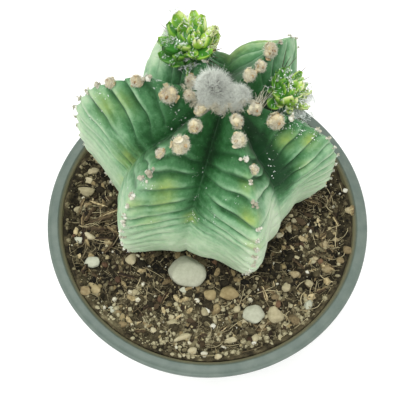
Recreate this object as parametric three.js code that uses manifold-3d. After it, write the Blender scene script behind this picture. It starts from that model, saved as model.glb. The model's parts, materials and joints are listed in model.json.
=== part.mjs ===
// A six-ribbed bishop's cap cactus with two offsets, growing in a round nursery pot.
// Millimetres, +Z up. The origin is the centre of the pot's underside and -Y is the front.
// The ribbed stem, its offsets, the wool of its crown, each dried flower, the soil, each
// stone and the pot are separate pieces. Pieces that touch keep a small gap to each other.

import * as THREE from 'three';
import { mergeVertices } from 'three/addons/utils/BufferGeometryUtils.js';
import Module from 'manifold-3d';

const wasm = await Module();
wasm.setup();

// ---------- driving dimensions ----------

const TOUCH_GAP = 0.3;

const POT_HEIGHT = 105;
const POT_RIM_RADIUS = 70;
const POT_LIP_WIDTH = 4.6;
const POT_SKIRT_DEPTH = 9;
const POT_WALL = 2.0;
const POT_BASE_RADIUS = 50;
const POT_FLOOR = 2.6;
const POT_SIDES = 48;
const DRAIN_HOLES = 8;
const DRAIN_RADIUS = 4;
const DRAIN_RING_RADIUS = 33;

const SOIL_TOP = POT_HEIGHT - 8;
const SOIL_RIPPLE = 0.8;
const SOIL_SIDES = 24;

// The stem's axis leans a little, so its centre moves by these amounts for each millimetre up.
const STEM_X = 2;
const STEM_Y = 15;
const STEM_LEAN_X = 0.054;
const STEM_LEAN_Y = 0.034;
const STEM_CENTRE = POT_HEIGHT + 15;
const STEM_FLANK_BULGE = 0.05;
const STEM_ROWS = 20;
const FLANK_COLUMNS = 4;

// Each rib has a heading in degrees from +X towards the back, and a share of the mean size.
// groove is how far across to the next rib the groove between them lies.
const RIBS = [
  { heading: -12, share: 1.01, groove: 0.5 },
  { heading: 53.4, share: 1.1, groove: 0.5 },
  { heading: 118, share: 1.06, groove: 0.5 },
  { heading: 173.1, share: 1.18, groove: 0.5 },
  { heading: 229.3, share: 1.1, groove: 0.45 },
  { heading: 286.9, share: 1.09, groove: 0.47 },
];

// Distance of a rib's crest from the stem's centre, against degrees down from the top.
const CREST_PROFILE = [
  [0, 40], [12, 43], [32, 48], [52, 51.5], [72, 49.5],
  [92, 46.8], [112, 43], [132, 38.5], [150, 35], [180, 33],
];

// How deep a groove is, as a part of the crest's distance, against degrees down from the top.
const GROOVE_PROFILE = [
  [0, 0], [14, 0.14], [30, 0.3], [50, 0.33], [72, 0.28],
  [92, 0.22], [112, 0.17], [132, 0.13], [150, 0.08], [180, 0],
];

// How far the skin is drawn in near the soil, in mm, against heading in degrees.
const FOOT_TRIM = [
  [-12, 1], [5, 3], [21, 0.5], [37, 3], [53, 0.5], [70, 3], [86, 0.5], [102, 3], [118, 0.5],
  [132, 3], [146, 0.5], [160, 0.5], [173, -1.5], [181, 2], [193, 1.6], [203, 0], [215, 1],
  [229, 0], [241, 3], [254, 1.5], [263, 3], [274, 5], [285, 2.5], [292, 0], [301, 3],
  [313, 0], [324, 3], [337, 5.5], [348, 1],
];

// Fuller shoulders at the back, by degrees down from the top and heading: how far each one
// reaches down and round in degrees, and how far the skin swells there in mm.
const SHOULDERS = [
  { tilt: 55.5, heading: 135, reach: [14, 21], swell: 6.8 },
  { tilt: 48.5, heading: 80, reach: [14.5, 18], swell: 8 },
];

// Dried flowers, by degrees down from the top, heading and width.
const DRY_FLOWERS = [
  { tilt: 12, heading: 216, width: 5.0 },
  { tilt: 19.6, heading: 230, width: 5.2 },
  { tilt: 28.2, heading: 230.5, width: 7.2 },
  { tilt: 34.8, heading: 228, width: 3.4 },
  { tilt: 14, heading: 287, width: 4.8 },
  { tilt: 21.8, heading: 286.5, width: 5.4 },
  { tilt: 33.4, heading: 290, width: 4.0 },
  { tilt: 15.2, heading: 178, width: 4.2 },
  { tilt: 22.8, heading: 178.5, width: 6.4 },
  { tilt: 22.5, heading: 135, width: 4.4 },
  { tilt: 32.8, heading: 173.5, width: 4.2 },
  { tilt: 42.5, heading: 173.2, width: 4.2 },
  { tilt: 14, heading: 346, width: 5.0 },
  { tilt: 24.4, heading: 344.5, width: 7.0 },
  { tilt: 14.6, heading: 52.4, width: 5.2 },
  { tilt: 21.5, heading: 51.4, width: 4.6 },
  { tilt: 28.4, heading: 53.2, width: 5.4 },
];

// Stones on the soil, by place and by width and depth seen from above.
const STONES = [
  { x: -7.5, y: -26.4, width: 15.2, depth: 12 },
  { x: -32.5, y: -22.5, width: 4.4, depth: 4.8 },
  { x: -49.1, y: -24.5, width: 7, depth: 5.4 },
  { x: -54.8, y: 19.4, width: 6.2, depth: 4.2 },
  { x: -56.3, y: 14.4, width: 5.4, depth: 3.8 },
  { x: -57, y: 8.8, width: 10.4, depth: 4.9 },
  { x: -60.5, y: -1.1, width: 6, depth: 4.8 },
  { x: -54.4, y: 25.6, width: 5, depth: 3.6 },
  { x: -58.4, y: -15, width: 6.6, depth: 3 },
  { x: -51.6, y: -12.6, width: 4, depth: 3.6 },
  { x: -48, y: -36.6, width: 8.2, depth: 6.2 },
  { x: -38.5, y: -46.6, width: 3.8, depth: 7 },
  { x: -33.6, y: -48.6, width: 3.4, depth: 6 },
  { x: -29.1, y: -37.1, width: 3.2, depth: 3.2 },
  { x: -12.6, y: -48.5, width: 5, depth: 2.8 },
  { x: -8.1, y: -55, width: 8.2, depth: 5 },
  { x: -8.8, y: -34.6, width: 3.8, depth: 3.2 },
  { x: 2.6, y: -36.4, width: 5.6, depth: 4.8 },
  { x: 10.6, y: -35.2, width: 9, depth: 6.8 },
  { x: 14.2, y: -41.4, width: 3.6, depth: 4.2 },
  { x: 5.6, y: -41.3, width: 3.6, depth: 3.8 },
  { x: 0.8, y: -43.6, width: 3.8, depth: 3.8 },
  { x: 20.8, y: -44.4, width: 9.8, depth: 8.4 },
  { x: 30.4, y: -43.8, width: 8, depth: 7.4 },
  { x: 36.6, y: -48.4, width: 4.6, depth: 4.2 },
  { x: 21.8, y: -53.4, width: 3.8, depth: 4.2 },
  { x: 44.6, y: -39.4, width: 4.6, depth: 6 },
  { x: 34.9, y: -31.9, width: 4.3, depth: 4 },
  { x: 44.8, y: -29.3, width: 3.9, depth: 3.6 },
  { x: 36.6, y: -4, width: 3, depth: 5.4 },
  { x: 53, y: -12.6, width: 4, depth: 3.2 },
  { x: 58.4, y: -15, width: 4.2, depth: 3.2 },
  { x: 11.6, y: -54.6, width: 5.7, depth: 3 },
];
const STONE_SINK = 0.12;
const STONE_FLATNESS = 0.62;

// Offsets: the round shoots that grow beside the crown.
const OFFSETS = [
  { name: 'offset_left', x: -8.8, y: 41, z: POT_HEIGHT + 58.4, radius: 9.7 },
  { name: 'offset_right', x: 27.6, y: 26.6, z: POT_HEIGHT + 50.6, radius: 8.2 },
];
const OFFSET_LOBES = 7;
const OFFSET_LOBE_HEIGHT = 0.08;

// The crown's wool is three soft lumps grown into one.
const WOOL_LUMPS = [
  { x: 0.2, y: 17.8, z: POT_HEIGHT + 60.6, size: [6.2, 6.8, 6.2] },
  { x: 8.6, y: 17.2, z: POT_HEIGHT + 58.8, size: [4.6, 4.6, 4.2] },
  { x: 3.2, y: 13, z: POT_HEIGHT + 58.4, size: [6.4, 3.6, 3.2] },
];

// ---------- finishes ----------

function matte(colour, roughness) {
  return new THREE.MeshStandardMaterial({ color: colour, roughness, metalness: 0 });
}

// ---------- closed surfaces and solids ----------

// A closed surface of stacked rings between two poles. pointAt takes how far down the surface
// a point lies, from 0 at the top pole to 1 at the bottom one, and its angle round the surface.
function closedSurface(rows, columns, pointAt) {
  const positions = [];
  const put = (point) => positions.push(point.x, point.y, point.z);
  put(pointAt(0, 0));
  for (let row = 1; row < rows; row += 1) {
    for (let column = 0; column < columns; column += 1) {
      put(pointAt(row / rows, (column / columns) * Math.PI * 2));
    }
  }
  put(pointAt(1, 0));

  const index = [];
  const vertex = (row, column) => 1 + (row - 1) * columns + (column % columns);
  const bottom = 1 + (rows - 1) * columns;
  for (let column = 0; column < columns; column += 1) {
    index.push(0, vertex(1, column), vertex(1, column + 1));
    for (let row = 1; row < rows - 1; row += 1) {
      const upper = vertex(row, column);
      const lower = vertex(row + 1, column);
      const lowerNext = vertex(row + 1, column + 1);
      const upperNext = vertex(row, column + 1);
      index.push(upper, lower, lowerNext, upper, lowerNext, upperNext);
    }
    index.push(bottom, vertex(rows - 1, column + 1), vertex(rows - 1, column));
  }

  const geometry = new THREE.BufferGeometry();
  geometry.setAttribute('position', new THREE.Float32BufferAttribute(positions, 3));
  geometry.setIndex(index);
  return geometry;
}

function solidFrom(geometry) {
  const plain = geometry.clone();
  plain.deleteAttribute('normal');
  plain.deleteAttribute('uv');
  const merged = mergeVertices(plain, 1e-4);
  const vertProperties = new Float32Array(merged.attributes.position.array);
  const triVerts = new Uint32Array(merged.index.array);
  return new wasm.Manifold(new wasm.Mesh({ numProp: 3, vertProperties, triVerts }));
}

function geometryFrom(solid) {
  const mesh = solid.getMesh();
  const geometry = new THREE.BufferGeometry();
  geometry.setAttribute('position', new THREE.BufferAttribute(new Float32Array(mesh.vertProperties), 3));
  geometry.setIndex(new THREE.BufferAttribute(new Uint32Array(mesh.triVerts), 1));
  geometry.computeVertexNormals();
  return geometry;
}

function piece(name, solid, material) {
  const mesh = new THREE.Mesh(geometryFrom(solid), material);
  mesh.name = name;
  return mesh;
}

// The value at x of a smooth curve through the given pairs. Between two pairs it is a cubic
// whose slope at each pair is that of the line joining the pair's neighbours.
function smoothThrough(pairs, x) {
  const last = pairs.length - 1;
  let left = 0;
  while (left < last - 1 && x > pairs[left + 1][0]) {
    left += 1;
  }
  const slopeAt = (place) => {
    const before = pairs[Math.max(place - 1, 0)];
    const after = pairs[Math.min(place + 1, last)];
    return (after[1] - before[1]) / (after[0] - before[0]);
  };
  const span = pairs[left + 1][0] - pairs[left][0];
  const t = (x - pairs[left][0]) / span;
  const startValue = pairs[left][1] * (2 * t ** 3 - 3 * t ** 2 + 1);
  const endValue = pairs[left + 1][1] * (3 * t ** 2 - 2 * t ** 3);
  const startSlope = slopeAt(left) * span * (t ** 3 - 2 * t ** 2 + t);
  const endSlope = slopeAt(left + 1) * span * (t ** 3 - t ** 2);
  return startValue + endValue + startSlope + endSlope;
}

// ---------- stem ----------

const MEAN_SHARE = RIBS.reduce((sum, rib) => sum + rib.share, 0) / RIBS.length;

// Where a heading lies between two ribs: the two shares of size, half the angle between the
// ribs, and the distance from the groove, from 0 in the groove to 1 on either crest. turned is
// the heading counted on from the first rib.
function betweenRibs(heading) {
  const start = RIBS[0].heading;
  const turned = THREE.MathUtils.euclideanModulo(heading - start, 360) + start;
  let left = RIBS.length - 1;
  while (RIBS[left].heading > turned) {
    left -= 1;
  }
  const right = (left + 1) % RIBS.length;
  const rightHeading = RIBS[right].heading + (right === 0 ? 360 : 0);
  const gap = rightHeading - RIBS[left].heading;
  const across = (turned - RIBS[left].heading) / gap;
  const groove = RIBS[left].groove;
  const even = across < groove ? (0.5 * across) / groove : 1 - (0.5 * (1 - across)) / (1 - groove);
  const share = THREE.MathUtils.lerp(RIBS[left].share, RIBS[right].share, even);
  return { share, halfGap: THREE.MathUtils.degToRad(gap / 2), fromGroove: Math.abs(even - 0.5) * 2, turned };
}

// The stem's distance from its centre at a tilt down from the top and a heading, in degrees.
// Across each flank the skin is a straight line from crest to groove, with a slight bulge,
// which is trimmed near the soil. The ribs' unequal sizes fade out towards both poles, and
// the shoulders at the back are bells in tilt and heading.
function stemDistance(tilt, heading) {
  const { share, halfGap, fromGroove, turned } = betweenRibs(heading);
  const shareFade = THREE.MathUtils.smoothstep(tilt, 0, 30) * THREE.MathUtils.smoothstep(180 - tilt, 0, 40);
  const crest = smoothThrough(CREST_PROFILE, tilt) * THREE.MathUtils.lerp(MEAN_SHARE, share, shareFade);
  const groove = 1 - smoothThrough(GROOVE_PROFILE, tilt);
  const angle = fromGroove * halfGap;
  const flank = (groove * Math.sin(halfGap))
    / (Math.sin(halfGap) * Math.cos(angle) - (Math.cos(halfGap) - groove) * Math.sin(angle));
  const bulge = STEM_FLANK_BULGE * Math.sin(Math.PI * fromGroove) * Math.sin(THREE.MathUtils.degToRad(tilt));
  const lowness = THREE.MathUtils.smoothstep(tilt, 48, 74) * THREE.MathUtils.smoothstep(180 - tilt, 0, 60);
  const swelling = SHOULDERS.reduce((sum, shoulder) => {
    const down = (tilt - shoulder.tilt) / shoulder.reach[0];
    const round = (turned - shoulder.heading) / shoulder.reach[1];
    return sum + shoulder.swell * Math.exp(-(down ** 2) - round ** 2);
  }, 0);
  return crest * flank * (1 + bulge) + swelling - smoothThrough(FOOT_TRIM, turned) * lowness;
}

function stemPoint(tilt, heading, grow = 0) {
  const distance = stemDistance(tilt, heading) + grow;
  const down = THREE.MathUtils.degToRad(tilt);
  const round = THREE.MathUtils.degToRad(heading);
  const up = distance * Math.cos(down);
  const out = distance * Math.sin(down);
  return new THREE.Vector3(
    STEM_X + STEM_LEAN_X * up + out * Math.cos(round),
    STEM_Y + STEM_LEAN_Y * up + out * Math.sin(round),
    STEM_CENTRE + up,
  );
}

function stemNormal(tilt, heading) {
  const step = 1.5;
  const down = stemPoint(tilt + step, heading).sub(stemPoint(tilt - step, heading));
  const round = stemPoint(tilt, heading + step).sub(stemPoint(tilt, heading - step));
  return down.cross(round).normalize();
}

// The headings of the stem's columns: each flank takes the same number of columns.
function stemHeadings() {
  const headings = [];
  RIBS.forEach((rib, place) => {
    const next = RIBS[(place + 1) % RIBS.length];
    const gap = THREE.MathUtils.euclideanModulo(next.heading - rib.heading, 360);
    for (let column = 0; column < FLANK_COLUMNS; column += 1) {
      headings.push(rib.heading + (gap * rib.groove * column) / FLANK_COLUMNS);
    }
    for (let column = 0; column < FLANK_COLUMNS; column += 1) {
      headings.push(rib.heading + gap * (rib.groove + ((1 - rib.groove) * column) / FLANK_COLUMNS));
    }
  });
  return headings;
}

function makeStem(grow) {
  const headings = stemHeadings();
  const geometry = closedSurface(STEM_ROWS, headings.length, (down, angle) => {
    const column = Math.round((angle / (Math.PI * 2)) * headings.length);
    return stemPoint(down * 180, headings[column], grow);
  });
  return solidFrom(geometry);
}

// ---------- pot ----------

// The pot's inner radius at a height above its underside.
function potInnerRadius(height) {
  const top = POT_RIM_RADIUS - POT_LIP_WIDTH - 0.7;
  const bottom = POT_BASE_RADIUS - POT_WALL;
  return THREE.MathUtils.mapLinear(height, 0, POT_HEIGHT, bottom, top);
}

function makePot() {
  const skirtFoot = POT_HEIGHT - POT_SKIRT_DEPTH;
  const wallTop = potInnerRadius(skirtFoot) + POT_WALL;
  const outline = [
    [0, 0],
    [POT_BASE_RADIUS - 1.5, 0],
    [POT_BASE_RADIUS, 1.5],
    [wallTop, skirtFoot],
    [POT_RIM_RADIUS - 0.9, skirtFoot],
    [POT_RIM_RADIUS - 0.3, skirtFoot + 0.8],
    [POT_RIM_RADIUS, POT_HEIGHT - 0.9],
    [POT_RIM_RADIUS - 0.7, POT_HEIGHT],
    [POT_RIM_RADIUS - POT_LIP_WIDTH, POT_HEIGHT],
    [potInnerRadius(POT_HEIGHT - 1), POT_HEIGHT - 1],
    [potInnerRadius(POT_FLOOR), POT_FLOOR],
    [0, POT_FLOOR],
  ];
  const lathe = new THREE.LatheGeometry(outline.map(([r, z]) => new THREE.Vector2(r, z)), POT_SIDES);
  let pot = solidFrom(lathe.rotateX(Math.PI / 2));
  for (let hole = 0; hole < DRAIN_HOLES; hole += 1) {
    const angle = ((hole + 0.5) / DRAIN_HOLES) * Math.PI * 2;
    const drill = new THREE.CylinderGeometry(DRAIN_RADIUS, DRAIN_RADIUS, POT_FLOOR * 4, 12);
    drill.rotateX(Math.PI / 2);
    drill.translate(DRAIN_RING_RADIUS * Math.cos(angle), DRAIN_RING_RADIUS * Math.sin(angle), 0);
    pot = pot.subtract(solidFrom(drill));
  }
  return pot;
}

// ---------- soil and stones ----------

function soilHeight(x, y) {
  const longWave = Math.sin(x / 9 + 1.3) * Math.cos(y / 11 - 0.4);
  const shortWave = 0.6 * Math.sin(x / 4.3 - y / 5.1);
  return SOIL_TOP + (SOIL_RIPPLE * (longWave + shortWave)) / 1.6;
}

// The soil fills the pot: an uneven top, a side that follows the pot's wall, and a flat bottom.
function makeSoil() {
  const topRings = 7;
  const sideRings = 3;
  const rows = topRings + sideRings + 1;
  const bottomHeight = POT_FLOOR + TOUCH_GAP;
  const edge = potInnerRadius(SOIL_TOP) - TOUCH_GAP - 0.3;
  const geometry = closedSurface(rows, SOIL_SIDES, (down, angle) => {
    const row = Math.round(down * rows);
    if (row === rows) {
      return new THREE.Vector3(0, 0, bottomHeight);
    }
    if (row <= topRings) {
      const x = ((edge * row) / topRings) * Math.cos(angle);
      const y = ((edge * row) / topRings) * Math.sin(angle);
      return new THREE.Vector3(x, y, soilHeight(x, y));
    }
    const height = THREE.MathUtils.mapLinear(row, topRings, rows - 1, SOIL_TOP - 1, bottomHeight);
    const radius = potInnerRadius(height) - TOUCH_GAP - 0.3;
    return new THREE.Vector3(radius * Math.cos(angle), radius * Math.sin(angle), height);
  });
  return solidFrom(geometry);
}

// A weathered stone: a flattened ball with a few broad bumps that differ from stone to stone.
function makeStone(stone, number, grow) {
  const height = Math.min(stone.width, stone.depth) * STONE_FLATNESS;
  const centreHeight = soilHeight(stone.x, stone.y) + height * (0.5 - STONE_SINK);
  const geometry = closedSurface(5, 7, (down, angle) => {
    const polar = down * Math.PI;
    const bumps = 1 - 0.08 * Math.sin(polar) * (1 + Math.sin(3 * angle + number * 1.7));
    return new THREE.Vector3(
      (stone.width / 2 + grow) * bumps * Math.sin(polar) * Math.cos(angle),
      (stone.depth / 2 + grow) * bumps * Math.sin(polar) * Math.sin(angle),
      (height / 2 + grow) * Math.cos(polar),
    );
  });
  geometry.translate(stone.x, stone.y, centreHeight);
  return solidFrom(geometry);
}

// ---------- what grows on the stem ----------

// A dried flower: a squat ruffled knob that stands on the skin along its normal.
function makeDryFlower(flower, number, grow) {
  const normal = stemNormal(flower.tilt, flower.heading);
  const radius = flower.width / 2;
  const foot = stemPoint(flower.tilt, flower.heading).addScaledVector(normal, radius * 0.45);
  const geometry = closedSurface(5, 8, (down, angle) => {
    const polar = down * Math.PI;
    const ruffle = 1 - 0.1 * (1 + Math.cos(4 * angle + number)) * Math.sin(polar);
    const wide = (radius + grow) * ruffle * Math.sin(polar);
    return new THREE.Vector3(wide * Math.cos(angle), wide * Math.sin(angle), (radius * 0.8 + grow) * Math.cos(polar));
  });
  geometry.applyQuaternion(new THREE.Quaternion().setFromUnitVectors(new THREE.Vector3(0, 0, 1), normal));
  geometry.translate(foot.x, foot.y, foot.z);
  return solidFrom(geometry);
}

// An offset: a ball of soft swellings that stand in spirals, like the leafy bumps it carries.
function makeOffset(offset) {
  const geometry = closedSurface(10, OFFSET_LOBES * 2, (down, angle) => {
    const polar = down * Math.PI;
    const spiral = Math.cos(OFFSET_LOBES * angle + 6 * polar);
    const radius = offset.radius * (1 - OFFSET_LOBE_HEIGHT * (1 - spiral) * Math.sin(polar));
    return new THREE.Vector3(
      radius * Math.sin(polar) * Math.cos(angle),
      radius * Math.sin(polar) * Math.sin(angle),
      radius * Math.cos(polar),
    );
  });
  geometry.translate(offset.x, offset.y, offset.z);
  return solidFrom(geometry);
}

function makeWool() {
  const lumps = WOOL_LUMPS.map((lump) => {
    const ball = new THREE.SphereGeometry(1, 12, 8);
    ball.scale(...lump.size);
    ball.translate(lump.x, lump.y, lump.z);
    return solidFrom(ball);
  });
  return lumps.reduce((wool, lump) => wool.add(lump));
}

// ---------- the whole plant in its pot ----------

function twoDigits(number) {
  return String(number).padStart(2, '0');
}

const stem = makeStem(0);
const stemSeat = makeStem(TOUCH_GAP);

let soil = makeSoil().subtract(stemSeat);
STONES.forEach((stone, number) => {
  soil = soil.subtract(makeStone(stone, number, TOUCH_GAP));
});

let wool = makeWool().subtract(stemSeat);
DRY_FLOWERS.forEach((flower, number) => {
  wool = wool.subtract(makeDryFlower(flower, number, TOUCH_GAP));
});

const group = new THREE.Group();
group.add(piece('pot', makePot(), matte('#75837b', 0.6)));
group.add(piece('soil', soil, matte('#4a382b', 0.95)));
group.add(piece('cactus_stem', stem, matte('#6f9f7a', 0.55)));
OFFSETS.forEach((offset) => {
  group.add(piece(offset.name, makeOffset(offset).subtract(stemSeat), matte('#86b43a', 0.5)));
});
group.add(piece('crown_wool', wool, matte('#c9c8c2', 0.95)));
DRY_FLOWERS.forEach((flower, number) => {
  const knob = makeDryFlower(flower, number, 0).subtract(stemSeat);
  group.add(piece(`dry_flower_${twoDigits(number + 1)}`, knob, matte('#cda588', 0.9)));
});
STONES.forEach((stone, number) => {
  const solid = makeStone(stone, number, 0);
  group.add(piece(`stone_${twoDigits(number + 1)}`, solid, matte('#c9c2b0', 0.85)));
});

export default group;
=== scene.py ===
"""A potted bishop's cap cactus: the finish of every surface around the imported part.

Shapes are worked out in millimetres and put into meshes in metres, in the part's own frame.
"""

import itertools
import json
import math

import bpy
import numpy as np
from mathutils import Matrix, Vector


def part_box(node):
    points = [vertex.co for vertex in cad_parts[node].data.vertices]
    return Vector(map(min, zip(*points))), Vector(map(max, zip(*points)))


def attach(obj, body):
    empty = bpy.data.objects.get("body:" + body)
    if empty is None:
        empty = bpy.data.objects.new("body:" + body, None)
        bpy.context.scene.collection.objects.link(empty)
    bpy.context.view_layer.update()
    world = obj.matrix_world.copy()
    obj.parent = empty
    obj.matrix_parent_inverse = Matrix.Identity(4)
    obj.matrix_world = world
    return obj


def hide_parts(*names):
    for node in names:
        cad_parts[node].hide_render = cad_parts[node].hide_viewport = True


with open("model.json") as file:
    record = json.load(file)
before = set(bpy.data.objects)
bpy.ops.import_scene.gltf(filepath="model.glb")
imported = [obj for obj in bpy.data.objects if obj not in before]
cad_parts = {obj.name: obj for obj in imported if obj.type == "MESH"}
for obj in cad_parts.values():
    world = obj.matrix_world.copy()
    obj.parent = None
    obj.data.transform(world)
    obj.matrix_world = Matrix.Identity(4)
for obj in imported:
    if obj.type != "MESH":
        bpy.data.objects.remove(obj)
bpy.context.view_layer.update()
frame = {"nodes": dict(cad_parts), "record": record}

bl_info = {
    "name": "Potted Bishop's Cap Cactus",
    "version": (1, 0, 0),
    "blender": (4, 5, 0),
    "location": "View3D > Sidebar > Cactus",
    "description": "Builds a six-ribbed cactus with offsets, wool and dried flowers in a stony pot",
    "category": "Add Mesh",
}

MM = 0.001
GOLDEN_ANGLE = math.pi * (3 - math.sqrt(5))


# ---------- the stem's form, shared by every piece that grows on it ----------

POT_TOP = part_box("pot")[1][2] / MM
RIM_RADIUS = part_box("pot")[1][0] / MM
SOIL_TOP = POT_TOP - 8
STEM_X = 2
STEM_Y = 15
STEM_LEAN_X = 0.054
STEM_LEAN_Y = 0.034
STEM_CENTRE = POT_TOP + 15
FLANK_BULGE = 0.05

# Each rib: heading in degrees from +X towards the back, share of the mean size, and how far
# across to the next rib the groove between them lies.
RIBS = (
    (-12, 1.01, 0.5),
    (53.4, 1.1, 0.5),
    (118, 1.06, 0.5),
    (173.1, 1.18, 0.5),
    (229.3, 1.1, 0.45),
    (286.9, 1.09, 0.47),
)

# Distance of a crest from the stem's centre, against degrees down from the top.
CREST_PROFILE = (
    (0, 40), (12, 43), (32, 48), (52, 51.5), (72, 49.5),
    (92, 46.8), (112, 43), (132, 38.5), (150, 35), (180, 33),
)

# Depth of a groove as a part of the crest's distance, against degrees down from the top.
GROOVE_PROFILE = (
    (0, 0), (14, 0.14), (30, 0.3), (50, 0.33), (72, 0.28),
    (92, 0.22), (112, 0.17), (132, 0.13), (150, 0.08), (180, 0),
)

# How far the skin is drawn in near the soil, in mm, against heading in degrees.
FOOT_TRIM = (
    (-12, 1), (5, 3), (21, 0.5), (37, 3), (53, 0.5), (70, 3), (86, 0.5), (102, 3), (118, 0.5),
    (132, 3), (146, 0.5), (160, 0.5), (173, -1.5), (181, 2), (193, 1.6), (203, 0), (215, 1),
    (229, 0), (241, 3), (254, 1.5), (263, 3), (274, 5), (285, 2.5), (292, 0), (301, 3),
    (313, 0), (324, 3), (337, 5.5), (348, 1),
)

# Fuller shoulders at the back: tilt and heading of each in degrees, how far it reaches down
# and round in degrees, and how far the skin swells there in mm.
SHOULDERS = (
    (55.5, 135, 14, 21, 6.8),
    (48.5, 80, 14.5, 18, 8),
)


def smooth_through(pairs, x):
    """The height at x of a smooth curve through the pairs.

    Between two pairs it is a cubic, whose slope at each pair is that of the line that joins
    the pair's neighbours.
    """
    knots, heights = np.array(pairs, float).T
    last = len(knots) - 1
    before = np.maximum(np.arange(last + 1) - 1, 0)
    after = np.minimum(np.arange(last + 1) + 1, last)
    slopes = (heights[after] - heights[before]) / (knots[after] - knots[before])
    left = np.clip(np.searchsorted(knots, x, side="right") - 1, 0, last - 1)
    span = knots[left + 1] - knots[left]
    t = (x - knots[left]) / span
    value = heights[left] * (2 * t**3 - 3 * t**2 + 1)
    value += heights[left + 1] * (3 * t**2 - 2 * t**3)
    value += slopes[left] * span * (t**3 - 2 * t**2 + t)
    value += slopes[left + 1] * span * (t**3 - t**2)
    return value


def ease(x, low, high):
    """0 below low, 1 above high, and a smooth step between them."""
    t = np.clip((x - low) / (high - low), 0, 1)
    return t * t * (3 - 2 * t)


def bump(x, width):
    """A bell curve of the given width: 1 where x is 0, falling away on both sides."""
    return np.exp(-((x / width) ** 2))


def turned(heading):
    """The heading counted on from the first rib, within one full turn."""
    return np.mod(heading - RIBS[0][0], 360) + RIBS[0][0]


def flank_place(heading):
    """The rib before a heading, the angle to the next one in degrees, and how far across to it
    the heading lies, where 0.5 is the groove."""
    headings = np.array([rib[0] for rib in RIBS] + [RIBS[0][0] + 360], float)
    left = np.clip(np.searchsorted(headings, turned(heading), side="right") - 1, 0, len(RIBS) - 1)
    gap = headings[left + 1] - headings[left]
    across = (turned(heading) - headings[left]) / gap
    groove = np.array([rib[2] for rib in RIBS])[left]
    even = np.where(across < groove, 0.5 * across / groove, 1 - 0.5 * (1 - across) / (1 - groove))
    return left, gap, even


def from_groove(heading):
    """How far up its flank a heading lies: 0 in the groove and 1 on a crest."""
    return np.abs(flank_place(heading)[2] - 0.5) * 2


def stem_distance(tilt, heading):
    """Distance of the smooth skin from the stem's centre, at degrees down and round.

    Each flank is a straight line from crest to groove with a slight bulge, which is trimmed
    near the soil. The ribs' unequal sizes fade out towards both poles, and the shoulders are
    bells in tilt and heading.
    """
    left, gap, even = flank_place(heading)
    shares = np.array([rib[1] for rib in RIBS] + [RIBS[0][1]])
    share = shares[left] + (shares[left + 1] - shares[left]) * even
    mean_share = shares[:-1].mean()
    fade = ease(tilt, 0, 30) * ease(180 - tilt, 0, 40)
    crest = smooth_through(CREST_PROFILE, tilt) * (mean_share + (share - mean_share) * fade)
    groove = 1 - smooth_through(GROOVE_PROFILE, tilt)
    half_gap = np.radians(gap / 2)
    angle = from_groove(heading) * half_gap
    slope = (np.cos(half_gap) - groove) * np.sin(angle)
    flank = groove * np.sin(half_gap) / (np.sin(half_gap) * np.cos(angle) - slope)
    bulge = FLANK_BULGE * np.sin(np.pi * from_groove(heading)) * np.sin(np.radians(tilt))
    lowness = ease(tilt, 48, 74) * ease(180 - tilt, 0, 60)
    distance = crest * flank * (1 + bulge) - smooth_through(FOOT_TRIM, turned(heading)) * lowness
    for middle, around, down_reach, round_reach, swell in SHOULDERS:
        round_bell = bump(turned(heading) - around, round_reach)
        distance = distance + swell * bump(tilt - middle, down_reach) * round_bell
    return distance


def stem_point(tilt, heading, grow=0.0):
    """The point of the skin at a tilt and heading in degrees, moved out by grow."""
    tilt, heading = np.broadcast_arrays(np.asarray(tilt, float), np.asarray(heading, float))
    distance = stem_distance(tilt, heading) + grow
    up = distance * np.cos(np.radians(tilt))
    out = distance * np.sin(np.radians(tilt))
    return points_of(
        STEM_X + STEM_LEAN_X * up + out * np.cos(np.radians(heading)),
        STEM_Y + STEM_LEAN_Y * up + out * np.sin(np.radians(heading)),
        STEM_CENTRE + up)


def stem_normal(tilt, heading):
    """The skin's outward direction, from the cross product of two short steps along it."""
    step = 1.5
    down = stem_point(tilt + step, heading) - stem_point(tilt - step, heading)
    round_ = stem_point(tilt, heading + step) - stem_point(tilt, heading - step)
    return unit(np.cross(down, round_))


def from_centre(points):
    """How far points lie across, behind and above the stem's centre, less its lean."""
    up = points[..., 2] - STEM_CENTRE
    x = points[..., 0] - STEM_X - STEM_LEAN_X * up
    y = points[..., 1] - STEM_Y - STEM_LEAN_Y * up
    return x, y, up


def tilt_and_heading(points):
    """The tilt and heading, in degrees, at which points lie from the stem's centre."""
    x, y, up = from_centre(points)
    return np.degrees(np.arctan2(np.hypot(x, y), up)), np.degrees(np.arctan2(y, x))


def above_skin(points):
    """How far points lie outside the stem's skin, measured from its centre."""
    x, y, up = from_centre(points)
    tilt, heading = tilt_and_heading(points)
    return np.sqrt(x**2 + y**2 + up**2) - stem_distance(tilt, heading)


# ---------- sums on arrays ----------

def unit(vectors):
    """The same directions with a length of 1."""
    return vectors / np.maximum(np.linalg.norm(vectors, axis=-1, keepdims=True), 1e-12)


def points_of(x, y, z):
    """Points from their x, y and z, each a number or an array."""
    return np.stack(np.broadcast_arrays(x, y, z), axis=-1)


def points_round(radius, angle, z):
    """Points at a radius and an angle round +Z, at heights z."""
    return points_of(radius * np.cos(angle), radius * np.sin(angle), z)


def round_steps(count):
    """Angles in even steps round one full turn."""
    return np.linspace(0, 2 * np.pi, count, endpoint=False)


def directions_at(polar, angle):
    """Directions at an angle down from +Z and an angle round it."""
    return points_round(np.sin(polar), angle, np.cos(polar))


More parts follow.
